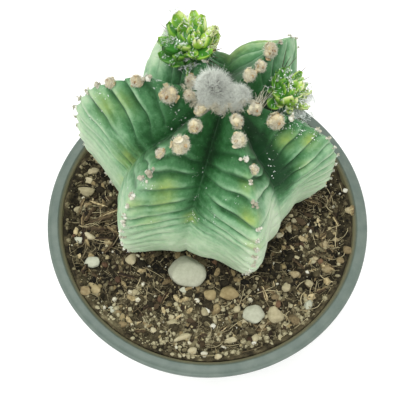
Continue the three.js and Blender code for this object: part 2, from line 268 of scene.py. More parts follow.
def frames_along(normals, turn=0.0):
    """For each normal, three axes at right angles: two across it and the normal last."""
    normals = unit(np.asarray(normals, float))
    helper = np.where(np.abs(normals[..., 2:3]) > 0.9, (1.0, 0, 0), (0, 0, 1.0))
    side = unit(np.cross(helper, normals))
    other = np.cross(normals, side)
    cos = np.cos(turn)[..., None] if np.ndim(turn) else math.cos(turn)
    sin = np.sin(turn)[..., None] if np.ndim(turn) else math.sin(turn)
    return np.stack([cos * side + sin * other, cos * other - sin * side, normals], axis=-2)


def soft_noise(points, cell, seed):
    """Noise from -1 to 1: a random value at each corner of a lattice, eased between corners."""
    scaled = np.asarray(points, float) / cell
    corner = np.floor(scaled).astype(np.int64)
    part = scaled - corner
    part = part * part * (3 - 2 * part)
    total = np.zeros(scaled.shape[:-1])
    for step in itertools.product((0, 1), repeat=3):
        place = corner + np.array(step)
        code = place[..., 0] * 73856093 ^ place[..., 1] * 19349663 ^ place[..., 2] * 83492791
        code = (code + seed * 7919) & 0xFFFFFFFF
        code = ((code ^ (code >> 15)) * 0x2C1B3C6D) & 0xFFFFFFFF
        code = ((code ^ (code >> 12)) * 0x297A2D39) & 0xFFFFFFFF
        value = ((code ^ (code >> 15)) & 0xFFFF) / 32767.5 - 1
        weight = np.prod(np.where(np.array(step) == 1, part, 1 - part), axis=-1)
        total += value * weight
    return total


def layered_noise(points, cell, seed, layers):
    """Soft noise added at halving cells and halving strengths."""
    total = 0
    for layer in range(layers):
        total = total + soft_noise(points, cell / 2**layer, seed + layer) / 2**layer
    return total / 1.5


# ---------- shapes ----------

class Shape:
    """Points in millimetres, blocks of faces over them, and named numbers for each point."""

    def __init__(self, points, faces, **values):
        self.points = np.asarray(points, float).reshape(-1, 3)
        self.faces = [np.asarray(block, np.int64) for block in faces if len(block)]
        self.values = {name: np.asarray(value, float).ravel() for name, value in values.items()}


def join(shapes):
    """One shape that holds all the given ones. A number that a shape lacks is 0 there."""
    names = sorted({name for shape in shapes for name in shape.values})
    values = {name: [] for name in names}
    faces = []
    start = 0
    for shape in shapes:
        count = len(shape.points)
        faces += [block + start for block in shape.faces]
        for name in names:
            values[name].append(shape.values.get(name, np.zeros(count)))
        start += count
    points = np.concatenate([shape.points for shape in shapes])
    return Shape(points, faces, **{name: np.concatenate(value) for name, value in values.items()})


def ring_surface(rings, top=None, bottom=None, **values):
    """A closed surface: rings (rows, columns, 3) from top to bottom, with a fan to each pole.

    A pole that isn't given lies in the middle of its nearest ring. Each value has the rings'
    rows and columns, and a pole takes the mean of its nearest ring.
    """
    rows, columns = rings.shape[:2]
    top = rings[0].mean(axis=0) if top is None else top
    bottom = rings[-1].mean(axis=0) if bottom is None else bottom
    points = np.concatenate([[top], rings.reshape(-1, 3), [bottom]])
    cell = 1 + np.arange(rows * columns).reshape(rows, columns)
    beside = np.roll(cell, -1, axis=1)
    quads = np.stack([cell[:-1], cell[1:], beside[1:], beside[:-1]], axis=-1).reshape(-1, 4)
    top_fan = np.stack([np.zeros(columns, int), cell[0], beside[0]], axis=-1)
    last = np.full(columns, rows * columns + 1)
    bottom_fan = np.stack([last, beside[-1], cell[-1]], axis=-1)
    full = {}
    for name, value in values.items():
        value = np.broadcast_to(value, (rows, columns))
        full[name] = np.concatenate([[value[0].mean()], value.ravel(), [value[-1].mean()]])
    return Shape(points, [quads, top_fan, bottom_fan], **full)


def ball(rows, columns, radius_at):
    """A ball as rings. radius_at takes the directions and gives each radius."""
    polar = np.linspace(0, np.pi, rows + 2)[:, None]
    directions = directions_at(polar, round_steps(columns)[None, :])
    points = directions * radius_at(directions)[..., None]
    return ring_surface(points[1:-1], points[0, 0], points[-1, 0])


def strands(paths, radii, **values):
    """Thin three-sided strands along paths (count, steps, 3), closed at both ends.

    radii is (count, steps), or (steps) where all strands are alike. Each value has one number
    for each strand.
    """
    count, steps = paths.shape[:2]
    radii = np.broadcast_to(radii, (count, steps))
    along = unit(np.gradient(paths, axis=1))
    axes = frames_along(along)
    angles = np.arange(3)[:, None] * 2 * np.pi / 3
    ring = np.cos(angles) * axes[..., 0, None, :] + np.sin(angles) * axes[..., 1, None, :]
    points = paths[:, :, None, :] + ring * radii[:, :, None, None]
    cell = np.arange(count * steps * 3).reshape(count, steps, 3)
    beside = np.roll(cell, -1, axis=2)
    quads = np.stack([cell[:, :-1], beside[:, :-1], beside[:, 1:], cell[:, 1:]], axis=-1).reshape(-1, 4)
    roots = cell[:, 0, ::-1]
    tips = cell[:, -1]
    carried = {name: np.repeat(value, steps * 3) for name, value in values.items()}
    carried["along"] = np.tile(np.repeat(np.linspace(0, 1, steps), 3), count)
    return Shape(points, [quads, roots, tips], **carried)


def curved_paths(roots, directions, lengths, bends, steps):
    """Paths that leave each root along its direction and curve aside by its bend."""
    t = np.linspace(0, 1, steps)[None, :, None]
    straight = directions[:, None, :] * lengths[:, None, None] * t
    return roots[:, None, :] + straight + bends[:, None, :] * t**2


def scatter(template, places, axes, scales, **values):
    """Copies of a template shape: each is scaled along its own axes and moved to its place.

    axes is (count, 3, 3) and scales is (count, 3). Each value has one number for each copy.
    """
    local = template.points[None] * scales[:, None, :]
    points = places[:, None, :] + np.einsum("nki,nij->nkj", local, axes)
    size = len(template.points)
    starts = (np.arange(len(places)) * size)[:, None, None]
    faces = [(block[None] + starts).reshape(-1, block.shape[1]) for block in template.faces]
    carried = {name: np.repeat(value, size) for name, value in values.items()}
    for name, value in template.values.items():
        carried[name] = np.tile(value, len(places))
    return Shape(points, faces, **carried)


def grain(rng):
    """A rough grain of 20 faces: an icosahedron with its corners pushed about."""
    g = (1 + math.sqrt(5)) / 2
    corners = np.array([
        (-1, g, 0), (1, g, 0), (-1, -g, 0), (1, -g, 0), (0, -1, g), (0, 1, g),
        (0, -1, -g), (0, 1, -g), (g, 0, -1), (g, 0, 1), (-g, 0, -1), (-g, 0, 1),
    ], float)
    faces = np.array([
        (0, 11, 5), (0, 5, 1), (0, 1, 7), (0, 7, 10), (0, 10, 11),
        (1, 5, 9), (5, 11, 4), (11, 10, 2), (10, 7, 6), (7, 1, 8),
        (3, 9, 4), (3, 4, 2), (3, 2, 6), (3, 6, 8), (3, 8, 9),
        (4, 9, 5), (2, 4, 11), (6, 2, 10), (8, 6, 7), (9, 8, 1),
    ])
    return Shape(unit(corners) * rng.uniform(0.72, 1.1, (12, 1)), [faces])


def fibonacci_directions(count):
    """Directions spread evenly over a ball: each is one golden angle on from the last."""
    place = np.arange(count) + 0.5
    return directions_at(np.arccos(1 - 2 * place / count), place * GOLDEN_ANGLE)


def cad_nodes(prefix):
    """The names of the CAD nodes that start with a prefix, in order."""
    return sorted(name for name in frame["nodes"] if name.startswith(prefix))


def cad_box(node):
    """The low and the high corner of a CAD node's box, in millimetres."""
    low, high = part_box(node)
    return np.array(low) / MM, np.array(high) / MM


def put_piece(name, shape, material, smooth=True):
    """Makes a mesh object of a shape, in metres, with its numbers as point attributes."""
    mesh = bpy.data.meshes.new(name)
    corners = np.concatenate([block.ravel() for block in shape.faces])
    sizes = np.concatenate([np.full(len(block), block.shape[1]) for block in shape.faces])
    mesh.vertices.add(len(shape.points))
    mesh.vertices.foreach_set("co", (shape.points * MM).ravel())
    mesh.loops.add(len(corners))
    mesh.loops.foreach_set("vertex_index", corners)
    mesh.polygons.add(len(sizes))
    mesh.polygons.foreach_set("loop_start", np.concatenate([[0], np.cumsum(sizes)[:-1]]))
    mesh.polygons.foreach_set("use_smooth", np.full(len(sizes), smooth))
    mesh.update(calc_edges=True)
    for key, value in shape.values.items():
        mesh.attributes.new(key, "FLOAT", "POINT").data.foreach_set("value", value)
    mesh.materials.append(material)
    piece = bpy.data.objects.new(name, mesh)
    bpy.context.scene.collection.objects.link(piece)
    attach(piece, "root")
    return piece


# ---------- materials ----------

def linear(hex_colour):
    """Turns an sRGB hex colour into linear red, green, blue and alpha."""
    parts = [int(hex_colour[k:k + 2], 16) / 255 for k in (1, 3, 5)]
    return [c / 12.92 if c <= 0.04045 else ((c + 0.055) / 1.055) ** 2.4 for c in parts] + [1.0]


def add_node(material, kind, settings=None, links=None):
    """Adds a node, sets its inputs, properties and ramp stops, and links sockets to it."""
    node = material.node_tree.nodes.new("ShaderNode" + kind)
    for name, value in (settings or {}).items():
        if name == "stops":
            ramp = node.color_ramp.elements
            while len(ramp) < len(value):
                ramp.new(0.5)
            for element, (position, colour) in zip(ramp, value):
                element.position = position
                element.color = linear(colour) if isinstance(colour, str) else [colour] * 3 + [1]
        elif isinstance(name, int) or name in node.inputs:
            node.inputs[name].default_value = value
        else:
            setattr(node, name, value)
    for name, socket in (links or {}).items():
        material.node_tree.links.new(socket, node.inputs[name])
    return node


def new_material(name):
    """A node material with no nodes but the Object coordinates that it reads."""
    material = bpy.data.materials.new(name)
    material.use_nodes = True
    material.node_tree.nodes.clear()
    return material, add_node(material, "TexCoord").outputs["Object"]


def finish_material(material, shader):
    """Links a shader to the material's output, and returns the material."""
    add_node(material, "OutputMaterial", links={"Surface": shader.outputs[0]})
    return material


MIX_A, MIX_B, MIX_OUT = 6, 7, 2


def waxy_skin():
    """Cactus skin with a chalky wax: deep green above, pale and chalky low on the stem, partly as painted
    sheen; its creases and grooves carry painted shade.
    """
    material, place = new_material("cactus_skin_waxy")
    # This pale level carries real wax, painted sheen low on the stem, and painted shade in the grooves and
    # folds.
    bloom = add_node(material, "Attribute", {"attribute_name": "bloom"})
    cloud = add_node(material, "TexNoise",
                     {"Scale": 1 / (6 * MM), "Detail": 5, "Roughness": 0.6}, {"Vector": place})
    shift = add_node(material, "Math", {"operation": "MULTIPLY_ADD", 1: 0.3, 2: -0.15},
                     {0: cloud.outputs["Fac"]})
    level = add_node(material, "Math", {"operation": "ADD"},
                     {0: bloom.outputs["Fac"], 1: shift.outputs[0]})
    mottle = add_node(material, "TexNoise",
                      {"Scale": 1 / (2.2 * MM), "Detail": 4, "Roughness": 0.65, "Distortion": 0.6},
                      {"Vector": place})
    shift = add_node(material, "Math", {"operation": "MULTIPLY_ADD", 1: 0.36, 2: -0.18},
                     {0: mottle.outputs["Fac"]})
    level = add_node(material, "Math", {"operation": "ADD"}, {0: level.outputs[0], 1: shift.outputs[0]})
    tone = add_node(material, "ValToRGB", {"stops": (
        (0.0, "#0b2c10"), (0.2, "#225228"), (0.4, "#4a7c50"),
        (0.6, "#7ea67f"), (0.8, "#a5c09c"), (1.0, "#bfd0b2"))}, {"Fac": level.outputs[0]})

    # Light fades the green to yellow in patches between the creases.
    sun = add_node(material, "Attribute", {"attribute_name": "sun"})
    ripple = add_node(material, "TexNoise", {"Scale": 1 / (3 * MM), "Detail": 3}, {"Vector": place})
    patch = add_node(material, "Math", {"operation": "MULTIPLY"},
                     {0: sun.outputs["Fac"], 1: ripple.outputs["Fac"]})
    patch = add_node(material, "Math", {"operation": "MULTIPLY", 1: 1.5, "use_clamp": True},
                     {0: patch.outputs[0]})
    faded = add_node(material, "Mix", {"data_type": "RGBA", MIX_B: linear("#a0b352")},
                     {0: patch.outputs[0], MIX_A: tone.outputs["Color"]})

    # Painted shade: the creases under the folds and the deepest grooves are darkened towards a deep green.
    crease = add_node(material, "Attribute", {"attribute_name": "crease"})
    dark = add_node(material, "Mix", {"data_type": "RGBA", MIX_B: linear("#183f20")},
                    {0: crease.outputs["Fac"], MIX_A: faded.outputs[MIX_OUT]})

    # Fine rubs and scuffs in the wax, about 1 mm across.
    scuff = add_node(material, "TexNoise",
                     {"Scale": 1 / (0.9 * MM), "Detail": 4, "Roughness": 0.7}, {"Vector": place})
    scuff = add_node(material, "ValToRGB", {"stops": ((0.62, 0.0), (0.8, 0.3))},
                     {"Fac": scuff.outputs["Fac"]})
    skin = add_node(material, "Mix", {"data_type": "RGBA", MIX_B: linear("#c6dcc0")},
                    {0: scuff.outputs["Color"], MIX_A: dark.outputs[MIX_OUT]})

    grain_bump = add_node(material, "TexNoise",
                          {"Scale": 1 / (0.7 * MM), "Detail": 5}, {"Vector": place})
    relief = add_node(material, "Bump", {"Strength": 0.35, "Distance": 0.12 * MM},
                      {"Height": grain_bump.outputs["Fac"]})
    gloss = add_node(material, "Math", {"operation": "MULTIPLY_ADD", 1: 0.2, 2: 0.42},
                     {0: cloud.outputs["Fac"]})
    shader = add_node(material, "BsdfPrincipled", {
        "Sheen Weight": 0.1, "Sheen Roughness": 0.45, "Sheen Tint": linear("#e4f2dc"),
        "Specular IOR Level": 0.2, "Subsurface Weight": 0.12, "Subsurface Scale": 2 * MM,
        "Subsurface Radius": (0.5, 1.0, 0.4)},
        {"Base Color": skin.outputs[MIX_OUT], "Roughness": gloss.outputs[0], "Normal": relief.outputs[0]})
    return finish_material(material, shader)


def leafy_skin():
    """The offsets' young skin: bright green, yellow along each bump's edge, slightly shiny, with painted
    shade on each offset's shaded side and painted light on the other.
    """
    material, place = new_material("offset_skin_young")
    edge = add_node(material, "Attribute", {"attribute_name": "edge"})
    tone = add_node(material, "Attribute", {"attribute_name": "tone"})
    cloud = add_node(material, "TexNoise", {"Scale": 1 / (1.6 * MM), "Detail": 4}, {"Vector": place})
    level = add_node(material, "Math", {"operation": "MULTIPLY_ADD", 1: 0.3},
                     {0: cloud.outputs["Fac"], 2: edge.outputs["Fac"]})
    green = add_node(material, "ValToRGB", {"stops": (
        (0.1, "#3c7a28"), (0.4, "#6ea636"), (0.7, "#a6cc4e"), (1.0, "#dfe7a4"))},
        {"Fac": level.outputs[0]})
    # Painted shade: tone darkens the bumps on each offset's shaded side and the body under them, with some
    # random tone.
    shade = add_node(material, "Mix", {"data_type": "RGBA", MIX_B: linear("#3f7f30")},
                     {0: tone.outputs["Fac"], MIX_A: green.outputs["Color"]})
    relief = add_node(material, "Bump", {"Strength": 0.3, "Distance": 0.15 * MM},
                      {"Height": cloud.outputs["Fac"]})
    shader = add_node(material, "BsdfPrincipled", {
        "Roughness": 0.38, "Subsurface Weight": 0.25, "Subsurface Scale": 1.5 * MM,
        "Subsurface Radius": (0.6, 1.0, 0.3), "Specular IOR Level": 0.45},
        {"Base Color": shade.outputs[MIX_OUT], "Normal": relief.outputs[0]})
    return finish_material(material, shader)


def fibre_material(name, root_colour, tip_colour, sheen):
    """Dry plant hair: its tip is paler than its root, and each strand differs a little."""
    material, place = new_material(name)
    along = add_node(material, "Attribute", {"attribute_name": "along"})
    tone = add_node(material, "Attribute", {"attribute_name": "tone"})
    cloud = add_node(material, "TexNoise", {"Scale": 1 / (2 * MM), "Detail": 3}, {"Vector": place})
    level = add_node(material, "Math", {"operation": "MULTIPLY_ADD", 1: 0.6},
                     {0: along.outputs["Fac"], 2: tone.outputs["Fac"]})
    level = add_node(material, "Math", {"operation": "MULTIPLY_ADD", 1: 0.3},
                     {0: cloud.outputs["Fac"], 2: level.outputs[0]})
    colour = add_node(material, "ValToRGB",
                      {"stops": ((0.1, root_colour), (0.9, tip_colour))}, {"Fac": level.outputs[0]})
    shader = add_node(material, "BsdfPrincipled",
                      {"Roughness": 0.85, "Sheen Weight": sheen, "Sheen Roughness": 0.5},
                      {"Base Color": colour.outputs["Color"]})
    return finish_material(material, shader)


def speckled_material(name, stops, grain_mm, depth_mm, roughness):
    """A dry mineral or crumbly finish: a colour for each lump, speckles and a gritty bump."""
    material, place = new_material(name)
    tone = add_node(material, "Attribute", {"attribute_name": "tone"})
    speckle = add_node(material, "TexNoise",
                       {"Scale": 1 / (grain_mm * MM), "Detail": 6, "Roughness": 0.65}, {"Vector": place})
    level = add_node(material, "Math", {"operation": "MULTIPLY_ADD", 1: 0.7, 2: -0.35},
                     {0: speckle.outputs["Fac"]})
    level = add_node(material, "Math", {"operation": "ADD"},
                     {0: level.outputs[0], 1: tone.outputs["Fac"]})
    colour = add_node(material, "ValToRGB", {"stops": stops}, {"Fac": level.outputs[0]})
    relief = add_node(material, "Bump", {"Strength": 0.6, "Distance": depth_mm * MM},
                      {"Height": speckle.outputs["Fac"]})
    shader = add_node(material, "BsdfPrincipled",
                      {"Roughness": roughness, "Specular IOR Level": 0.3},
                      {"Base Color": colour.outputs["Color"], "Normal": relief.outputs[0]})
    return finish_material(material, shader)


def pot_plastic():
    """Recycled polypropylene: matt grey-green, faintly streaked by the mould, dusty in places."""
    material, place = new_material("pot_polypropylene_moulded")
    streaks = add_node(material, "Mapping", {"Scale": (1, 1, 0.12)}, {"Vector": place})
    streak = add_node(material, "TexNoise",
                      {"Scale": 1 / (5 * MM), "Detail": 4}, {"Vector": streaks.outputs[0]})
    dust = add_node(material, "TexNoise",
                    {"Scale": 1 / (2.2 * MM), "Detail": 6, "Roughness": 0.7}, {"Vector": place})
    base = add_node(material, "ValToRGB",
                    {"stops": ((0.3, "#5a6860"), (0.7, "#6a766d"))}, {"Fac": streak.outputs["Fac"]})
    film = add_node(material, "ValToRGB", {"stops": ((0.55, 0.0), (0.85, 0.2))},
                    {"Fac": dust.outputs["Fac"]})
    colour = add_node(material, "Mix", {"data_type": "RGBA", MIX_B: linear("#969e92")},
                      {0: film.outputs["Color"], MIX_A: base.outputs["Color"]})
    soiled = add_node(material, "Attribute", {"attribute_name": "soiled"})
    dirty = add_node(material, "Math", {"operation": "MULTIPLY_ADD", 1: 0.8, 2: 0.55},
                     {0: dust.outputs["Fac"]})
    dirty = add_node(material, "Math", {"operation": "MULTIPLY", "use_clamp": True},
                     {0: dirty.outputs[0], 1: soiled.outputs["Fac"]})
    colour = add_node(material, "Mix", {"data_type": "RGBA", MIX_B: linear("#7d775a")},
                      {0: dirty.outputs[0], MIX_A: colour.outputs[MIX_OUT]})
    gloss = add_node(material, "Math", {"operation": "MULTIPLY_ADD", 1: 0.25, 2: 0.42},
                     {0: dust.outputs["Fac"]})
    fine = add_node(material, "TexNoise", {"Scale": 1 / (0.5 * MM), "Detail": 3}, {"Vector": place})
    relief = add_node(material, "Bump", {"Strength": 0.25, "Distance": 0.08 * MM},
                      {"Height": fine.outputs["Fac"]})
    shader = add_node(material, "BsdfPrincipled", {"Specular IOR Level": 0.45},
                      {"Base Color": colour.outputs[MIX_OUT], "Roughness": gloss.outputs[0],
                       "Normal": relief.outputs[0]})
    return finish_material(material, shader)


def studio_floor():
    """Matt white paper."""
    material, place = new_material("studio_paper")
    cloud = add_node(material, "TexNoise", {"Scale": 40, "Detail": 2}, {"Vector": place})
    colour = add_node(material, "ValToRGB",
                      {"stops": ((0.3, "#f6f6f4"), (0.7, "#fafaf9"))}, {"Fac": cloud.outputs["Fac"]})
    shader = add_node(material, "BsdfPrincipled",
                      {"Roughness": 0.9, "Emission Color": linear("#ffffff"), "Emission Strength": 0.17},
                      {"Base Color": colour.outputs["Color"]})
    return finish_material(material, shader)


# What a size in metres tells Blender's panel.
LENGTH = {"unit": "LENGTH", "subtype": "DISTANCE"}


# ---------- the pot ----------

# The inside of the pot in mm: its radius at the bottom, how far the wall's inner face lies
# inside the rim, and the height of the floor's upper face.
FOOT_RADIUS = 48
LIP = 4.6
LIP_INSET = 0.7
FLOOR_TOP = 2.6

# The drain holes: how many, the radius of the ring they lie on and the radius of each.
HOLE_COUNT = 8
HOLE_RING = 33
HOLE_RADIUS = 4


class PotSizes(bpy.types.PropertyGroup):
    """Sizes of the pot that differ from pot to pot."""

    lip_width: bpy.props.FloatProperty(
        name="Lip Width", description="Width of the rim's flat top", default=LIP * MM, **LENGTH)
    skirt_depth: bpy.props.FloatProperty(
        name="Skirt Depth", description="Height of the band below the rim", default=9 * MM, **LENGTH)
    wall: bpy.props.FloatProperty(
        name="Wall", description="Thickness of the pot's wall", default=2 * MM, **LENGTH)


def pot_inner_radius(height):
    """The pot's inner radius at a height, which grows evenly from the floor to the lip."""
    return FOOT_RADIUS + (RIM_RADIUS - LIP - LIP_INSET - FOOT_RADIUS) * height / POT_TOP


def pot_outline(sizes):
    """The pot's section as radius and height: from the middle of the underside, up the
    outside, round the lip and down the inside to the middle of the floor."""
    rim = RIM_RADIUS
    lip = sizes.lip_width / MM
    foot = POT_TOP - sizes.skirt_depth / MM
    wall = sizes.wall / MM
    floor = FLOOR_TOP
    wall_top = pot_inner_radius(foot) + wall
    round_foot = [(50 - 2 + 2 * math.sin(a), 2 - 2 * math.cos(a)) for a in np.linspace(0, 1.45, 6)]
    outer_edge = [(rim - 0.8 + 0.8 * math.cos(a), POT_TOP - 0.8 + 0.8 * math.sin(a))
                  for a in np.linspace(0, math.pi / 2, 6)]
    inner_edge = [(rim - lip + 0.6 - 0.6 * math.sin(a), POT_TOP - 0.6 + 0.6 * math.cos(a))
                  for a in np.linspace(0, math.pi / 2, 5)]
    return np.array(
        [(r, 0) for r in (12, 24, 36, 44)]
        + round_foot
        + [(50.1 + (wall_top - 50.1) * s, 2.5 + (foot - 3.1) * s) for s in np.linspace(0.02, 1, 10)]
        + [(wall_top + 0.3, foot - 0.2), (rim - 1.1, foot), (rim - 0.6, foot + 0.2), (rim - 0.35, foot + 0.8)]
        + [(rim - 0.2, POT_TOP - 5.5), (rim - 0.45, POT_TOP - 5.0), (rim - 0.1, POT_TOP - 4.5)]
        + outer_edge
        + [(rim - 1.25, POT_TOP - 0.1), (rim - 1.6, POT_TOP - 0.3), (rim - 0.6 * lip, POT_TOP - 0.25)]
        + [(r, z - 0.2) for r, z in inner_edge]
        + [(pot_inner_radius(z), z) for z in (POT_TOP - d for d in (1.6, 2.4, 3.2, 4.2, 5.5, 7, 9))]
        + [(pot_inner_radius(z), z) for z in np.linspace(POT_TOP - 14, floor + 1, 8)]
        + [(pot_inner_radius(floor) - 0.8, floor + 0.1), (40, floor), (20, floor)])


def pot_with_holes(sizes):
    """The turned pot, less a ring of drain holes cut through its floor."""
    outline = pot_outline(sizes)
    angle = round_steps(192)
    # The section runs from the underside up and over to the floor, so its rings are turned
    # backwards to keep the faces outwards.
    radius, height = outline[:, 0, None], outline[:, 1, None]
    rings = points_round(radius, angle, height)[::-1]
    soiled = np.zeros(rings.shape[:2])
    inside = (rings[..., 2] < POT_TOP - 0.3) & (
        np.hypot(rings[..., 0], rings[..., 1]) < pot_inner_radius(rings[..., 2]) + 1.2)
    soiled[inside] = ease(POT_TOP - rings[..., 2], 0.4, 1.5)[inside]
    shape = ring_surface(rings, (0, 0, FLOOR_TOP), (0, 0, 0), soiled=soiled)
    pot = put_piece("nursery_pot", shape, pot_plastic())

    drills = []
    around = round_steps(32)
    reach = np.array([0, 0, 6])
    for hole in range(HOLE_COUNT):
        turn = (hole + 0.5) / HOLE_COUNT * 2 * math.pi
        centre = points_round(HOLE_RING, turn, 0)
        ring = points_round(HOLE_RADIUS, around, 0) + centre
        drill = np.stack([ring + reach, ring - reach])
        drills.append(ring_surface(drill, centre + reach, centre - reach))
    cutter = put_piece("drills", join(drills), pot.data.materials[0])
    cut = pot.modifiers.new("drain_holes", "BOOLEAN")
    cut.object = cutter
    cut.solver = "EXACT"
    bpy.context.view_layer.update()
    finished = bpy.data.meshes.new_from_object(pot.evaluated_get(bpy.context.evaluated_depsgraph_get()))
    pot.modifiers.clear()
    pot.data = finished
    bpy.data.objects.remove(cutter)
    return pot


class CACTUS_OT_pot(bpy.types.Operator):
    """Turns the nursery pot, with its rim, skirt and drain holes"""

    bl_idname = "cactus.make_pot"
    bl_label = "Make Pot"

    def execute(self, context):
        pot = pot_with_holes(context.scene.cactus_pot)
        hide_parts("pot")
        return {"FINISHED"}


# ---------- soil and what lies on it ----------

# How much higher the soil lies against the pot's wall.
SOIL_BANK = 5.2
SOIL_BOTTOM = 3.2
SOIL_EDGE = pot_inner_radius(SOIL_TOP + SOIL_BANK) - 0.3


class SoilSizes(bpy.types.PropertyGroup):
    """How coarse and how littered the soil is."""

    crumb_count: bpy.props.IntProperty(
        name="Crumbs", description="Number of loose crumbs of peat", default=8200, min=0)
    bark_count: bpy.props.IntProperty(
        name="Bark Bits", description="Number of chips of bark and wood", default=620, min=0)
    clod_count: bpy.props.IntProperty(
        name="Clods", description="Number of soft clods of peat", default=360, min=0)
    grit_count: bpy.props.IntProperty(
        name="Grit", description="Number of small pale grains", default=900, min=0)
    root_count: bpy.props.IntProperty(
        name="Fine Roots", description="Number of fine roots and fibres", default=900, min=0)


def soil_height(x, y):
    """The soil's broad surface: two slow waves about its mean height, and a bank at the wall."""
    long_wave = np.sin(x / 9 + 1.3) * np.cos(y / 11 - 0.4)
    short_wave = 0.6 * np.sin(x / 4.3 - y / 5.1)
    bank = SOIL_BANK * ease(np.hypot(x, y), 57.5, 63.5)
    return SOIL_TOP + 0.8 * (long_wave + short_wave) / 1.6 + bank


def lumpy_soil_height(x, y):
    """The broad surface with clods of up to 5 mm and pits of 3 mm in it."""
    flat = points_of(x, y, 0)
    clods = layered_noise(flat, 5.0, 11, 5)
    pits = np.minimum(soft_noise(flat, 3.2, 31), 0)
    return soil_height(x, y) + 1.1 * clods + 1.2 * pits


def on_soil(radius, angle):
    """Points on the lumpy soil at a radius and an angle round its middle."""
    places = points_round(radius, angle, 0)
    places[..., 2] = lumpy_soil_height(places[..., 0], places[..., 1])
    return places


def front_share(points):
    """How far points lie in the front part of the pot, where the soil is paler: 0 to 1."""
    return ease(-points[..., 1], 28, 48)


def soil_bed():
    """The soil as a closed disc: rings on its lumpy top, its side down the pot, its bottom."""
    angle = round_steps(420)[None, :]
    top = on_soil(SOIL_EDGE * np.linspace(0.01, 1, 180)[:, None], angle)
    heights = np.array([SOIL_TOP - 3, SOIL_TOP / 2, SOIL_BOTTOM])[:, None]
    side = points_round(pot_inner_radius(heights) - 0.4, angle, heights)
    bottom = points_round(np.array([30.0, 10.0])[:, None], angle, SOIL_BOTTOM)
    rings = np.concatenate([top, side, bottom])
    tone = 0.32 + 0.25 * soft_noise(rings, 4.0, 5) + 0.2 * soft_noise(rings, 1.4, 6)
    tone = tone + 0.16 * front_share(rings)
    return ring_surface(rings, (0, 0, soil_height(0, 0)), (0, 0, SOIL_BOTTOM), tone=tone)


def open_ground(rng, count, margin):
    """Random places on the soil that the pot's wall and the stem leave free."""
    radius = (SOIL_EDGE - margin) * np.sqrt(rng.uniform(0, 1, count * 3))
    places = on_soil(radius, rng.uniform(0, 2 * np.pi, count * 3))
    free = above_skin(places + (0, 0, 1)) > -1.5
    return places[free][:count]


def random_axes(rng, count, flatness=0.0):
    """Random right-angled axes. With a flatness near 1 the third axis stays near upright."""
    up = rng.normal(0, 1 - flatness, (count, 3)) + (0, 0, flatness)
    return frames_along(up, rng.uniform(0, 2 * np.pi, count))


def soil_crumbs(rng, count):
    """Loose crumbs of peat, 1 to 3 mm across and most of them small."""
    places = open_ground(rng, count, 1.2)
    size = 0.35 + 1.1 * rng.uniform(0, 1, len(places)) ** 3
    scales = size[:, None] * rng.uniform(0.6, 1.2, (len(places), 3))
    places[:, 2] += 0.3 * size
    front = (0.3 + 0.3 * soft_noise(places, 6.0, 14)) * front_share(places)
    tone = rng.uniform(0.0, 0.85, len(places)) + 0.3 * soft_noise(places, 9.0, 12) + front
    return scatter(grain(rng), places, random_axes(rng, len(places)), scales, tone=np.clip(tone, 0, 1))


def peat_clods(rng, count):
    """Soft dark clods, 1 to 7 mm across: four rough balls that are copied, turned and scaled."""
    clods = []
    for kind in range(4):
        lump = ball(12, 18, lambda d: 0.9 + 0.3 * layered_noise(d * 2.2 + 9 * kind, 1.0, 70, 4))
        places = open_ground(rng, count // 4, 5)
        size = 0.9 + 1.9 * rng.uniform(0, 1, len(places)) ** 2
        scales = size[:, None] * rng.uniform(0.7, 1.2, (len(places), 3)) * (1, 1, 0.7)
        tone = rng.uniform(0.0, 0.55, len(places)) + 0.28 * front_share(places)
        clods.append(scatter(lump, places, random_axes(rng, len(places)), scales, tone=tone))
    return join(clods)


# Larger pieces of bark and wood: x, y, heading in degrees, length and width in mm, and tone.
WOOD_PIECES = (
    (-47.5, -5.0, 12, 13, 2.2, 0.35), (-50.0, -9.2, -8, 11, 2.6, 0.2), (-44.5, -1.4, 28, 10, 1.8, 0.6),
    (-52.6, -2.4, 60, 8, 2.4, 0.25), (-41.6, -9.8, -35, 8, 1.6, 0.5), (-45.8, -13.4, 8, 9, 2.0, 0.15),
    (-54.2, -12.4, 82, 7, 2.2, 0.3), (-49.8, 2.6, -20, 9, 1.4, 0.7), (-56.0, -5.6, 100, 7, 1.8, 0.45),
    (-42.4, -17.8, 50, 7, 1.8, 0.3), (52.8, -7.1, 40, 6, 3.2, 0.55), (53.3, -22.2, -30, 7, 3.6, 0.5),
    (64.0, 3.1, 80, 5, 2.0, 0.95), (44.7, 12.1, 20, 7, 1.2, 0.7), (47.0, 8.6, -25, 8, 1.4, 0.4),
    (56.4, 12.8, 65, 9, 1.6, 0.35), (50.2, -32.6, 15, 7, 2.2, 0.3), (39.8, -21.0, -50, 8, 1.6, 0.25),
    (-22.0, -42.0, 30, 7, 2.2, 0.15), (-33.6, -30.2, -18, 8, 2.0, 0.2), (-16.8, -38.4, 75, 6, 1.8, 0.35),
    (26.0, -34.6, -62, 7, 1.6, 0.45), (-26.0, -52.8, 6, 6, 1.8, 0.3), (8.4, -50.6, 35, 6, 1.4, 0.5),
    (-52.0, -29.8, 48, 7, 2.2, 0.2), (58.0, -1.6, -70, 7, 1.6, 0.5), (-57.6, 2.0, 84, 8, 1.6, 0.3),
)


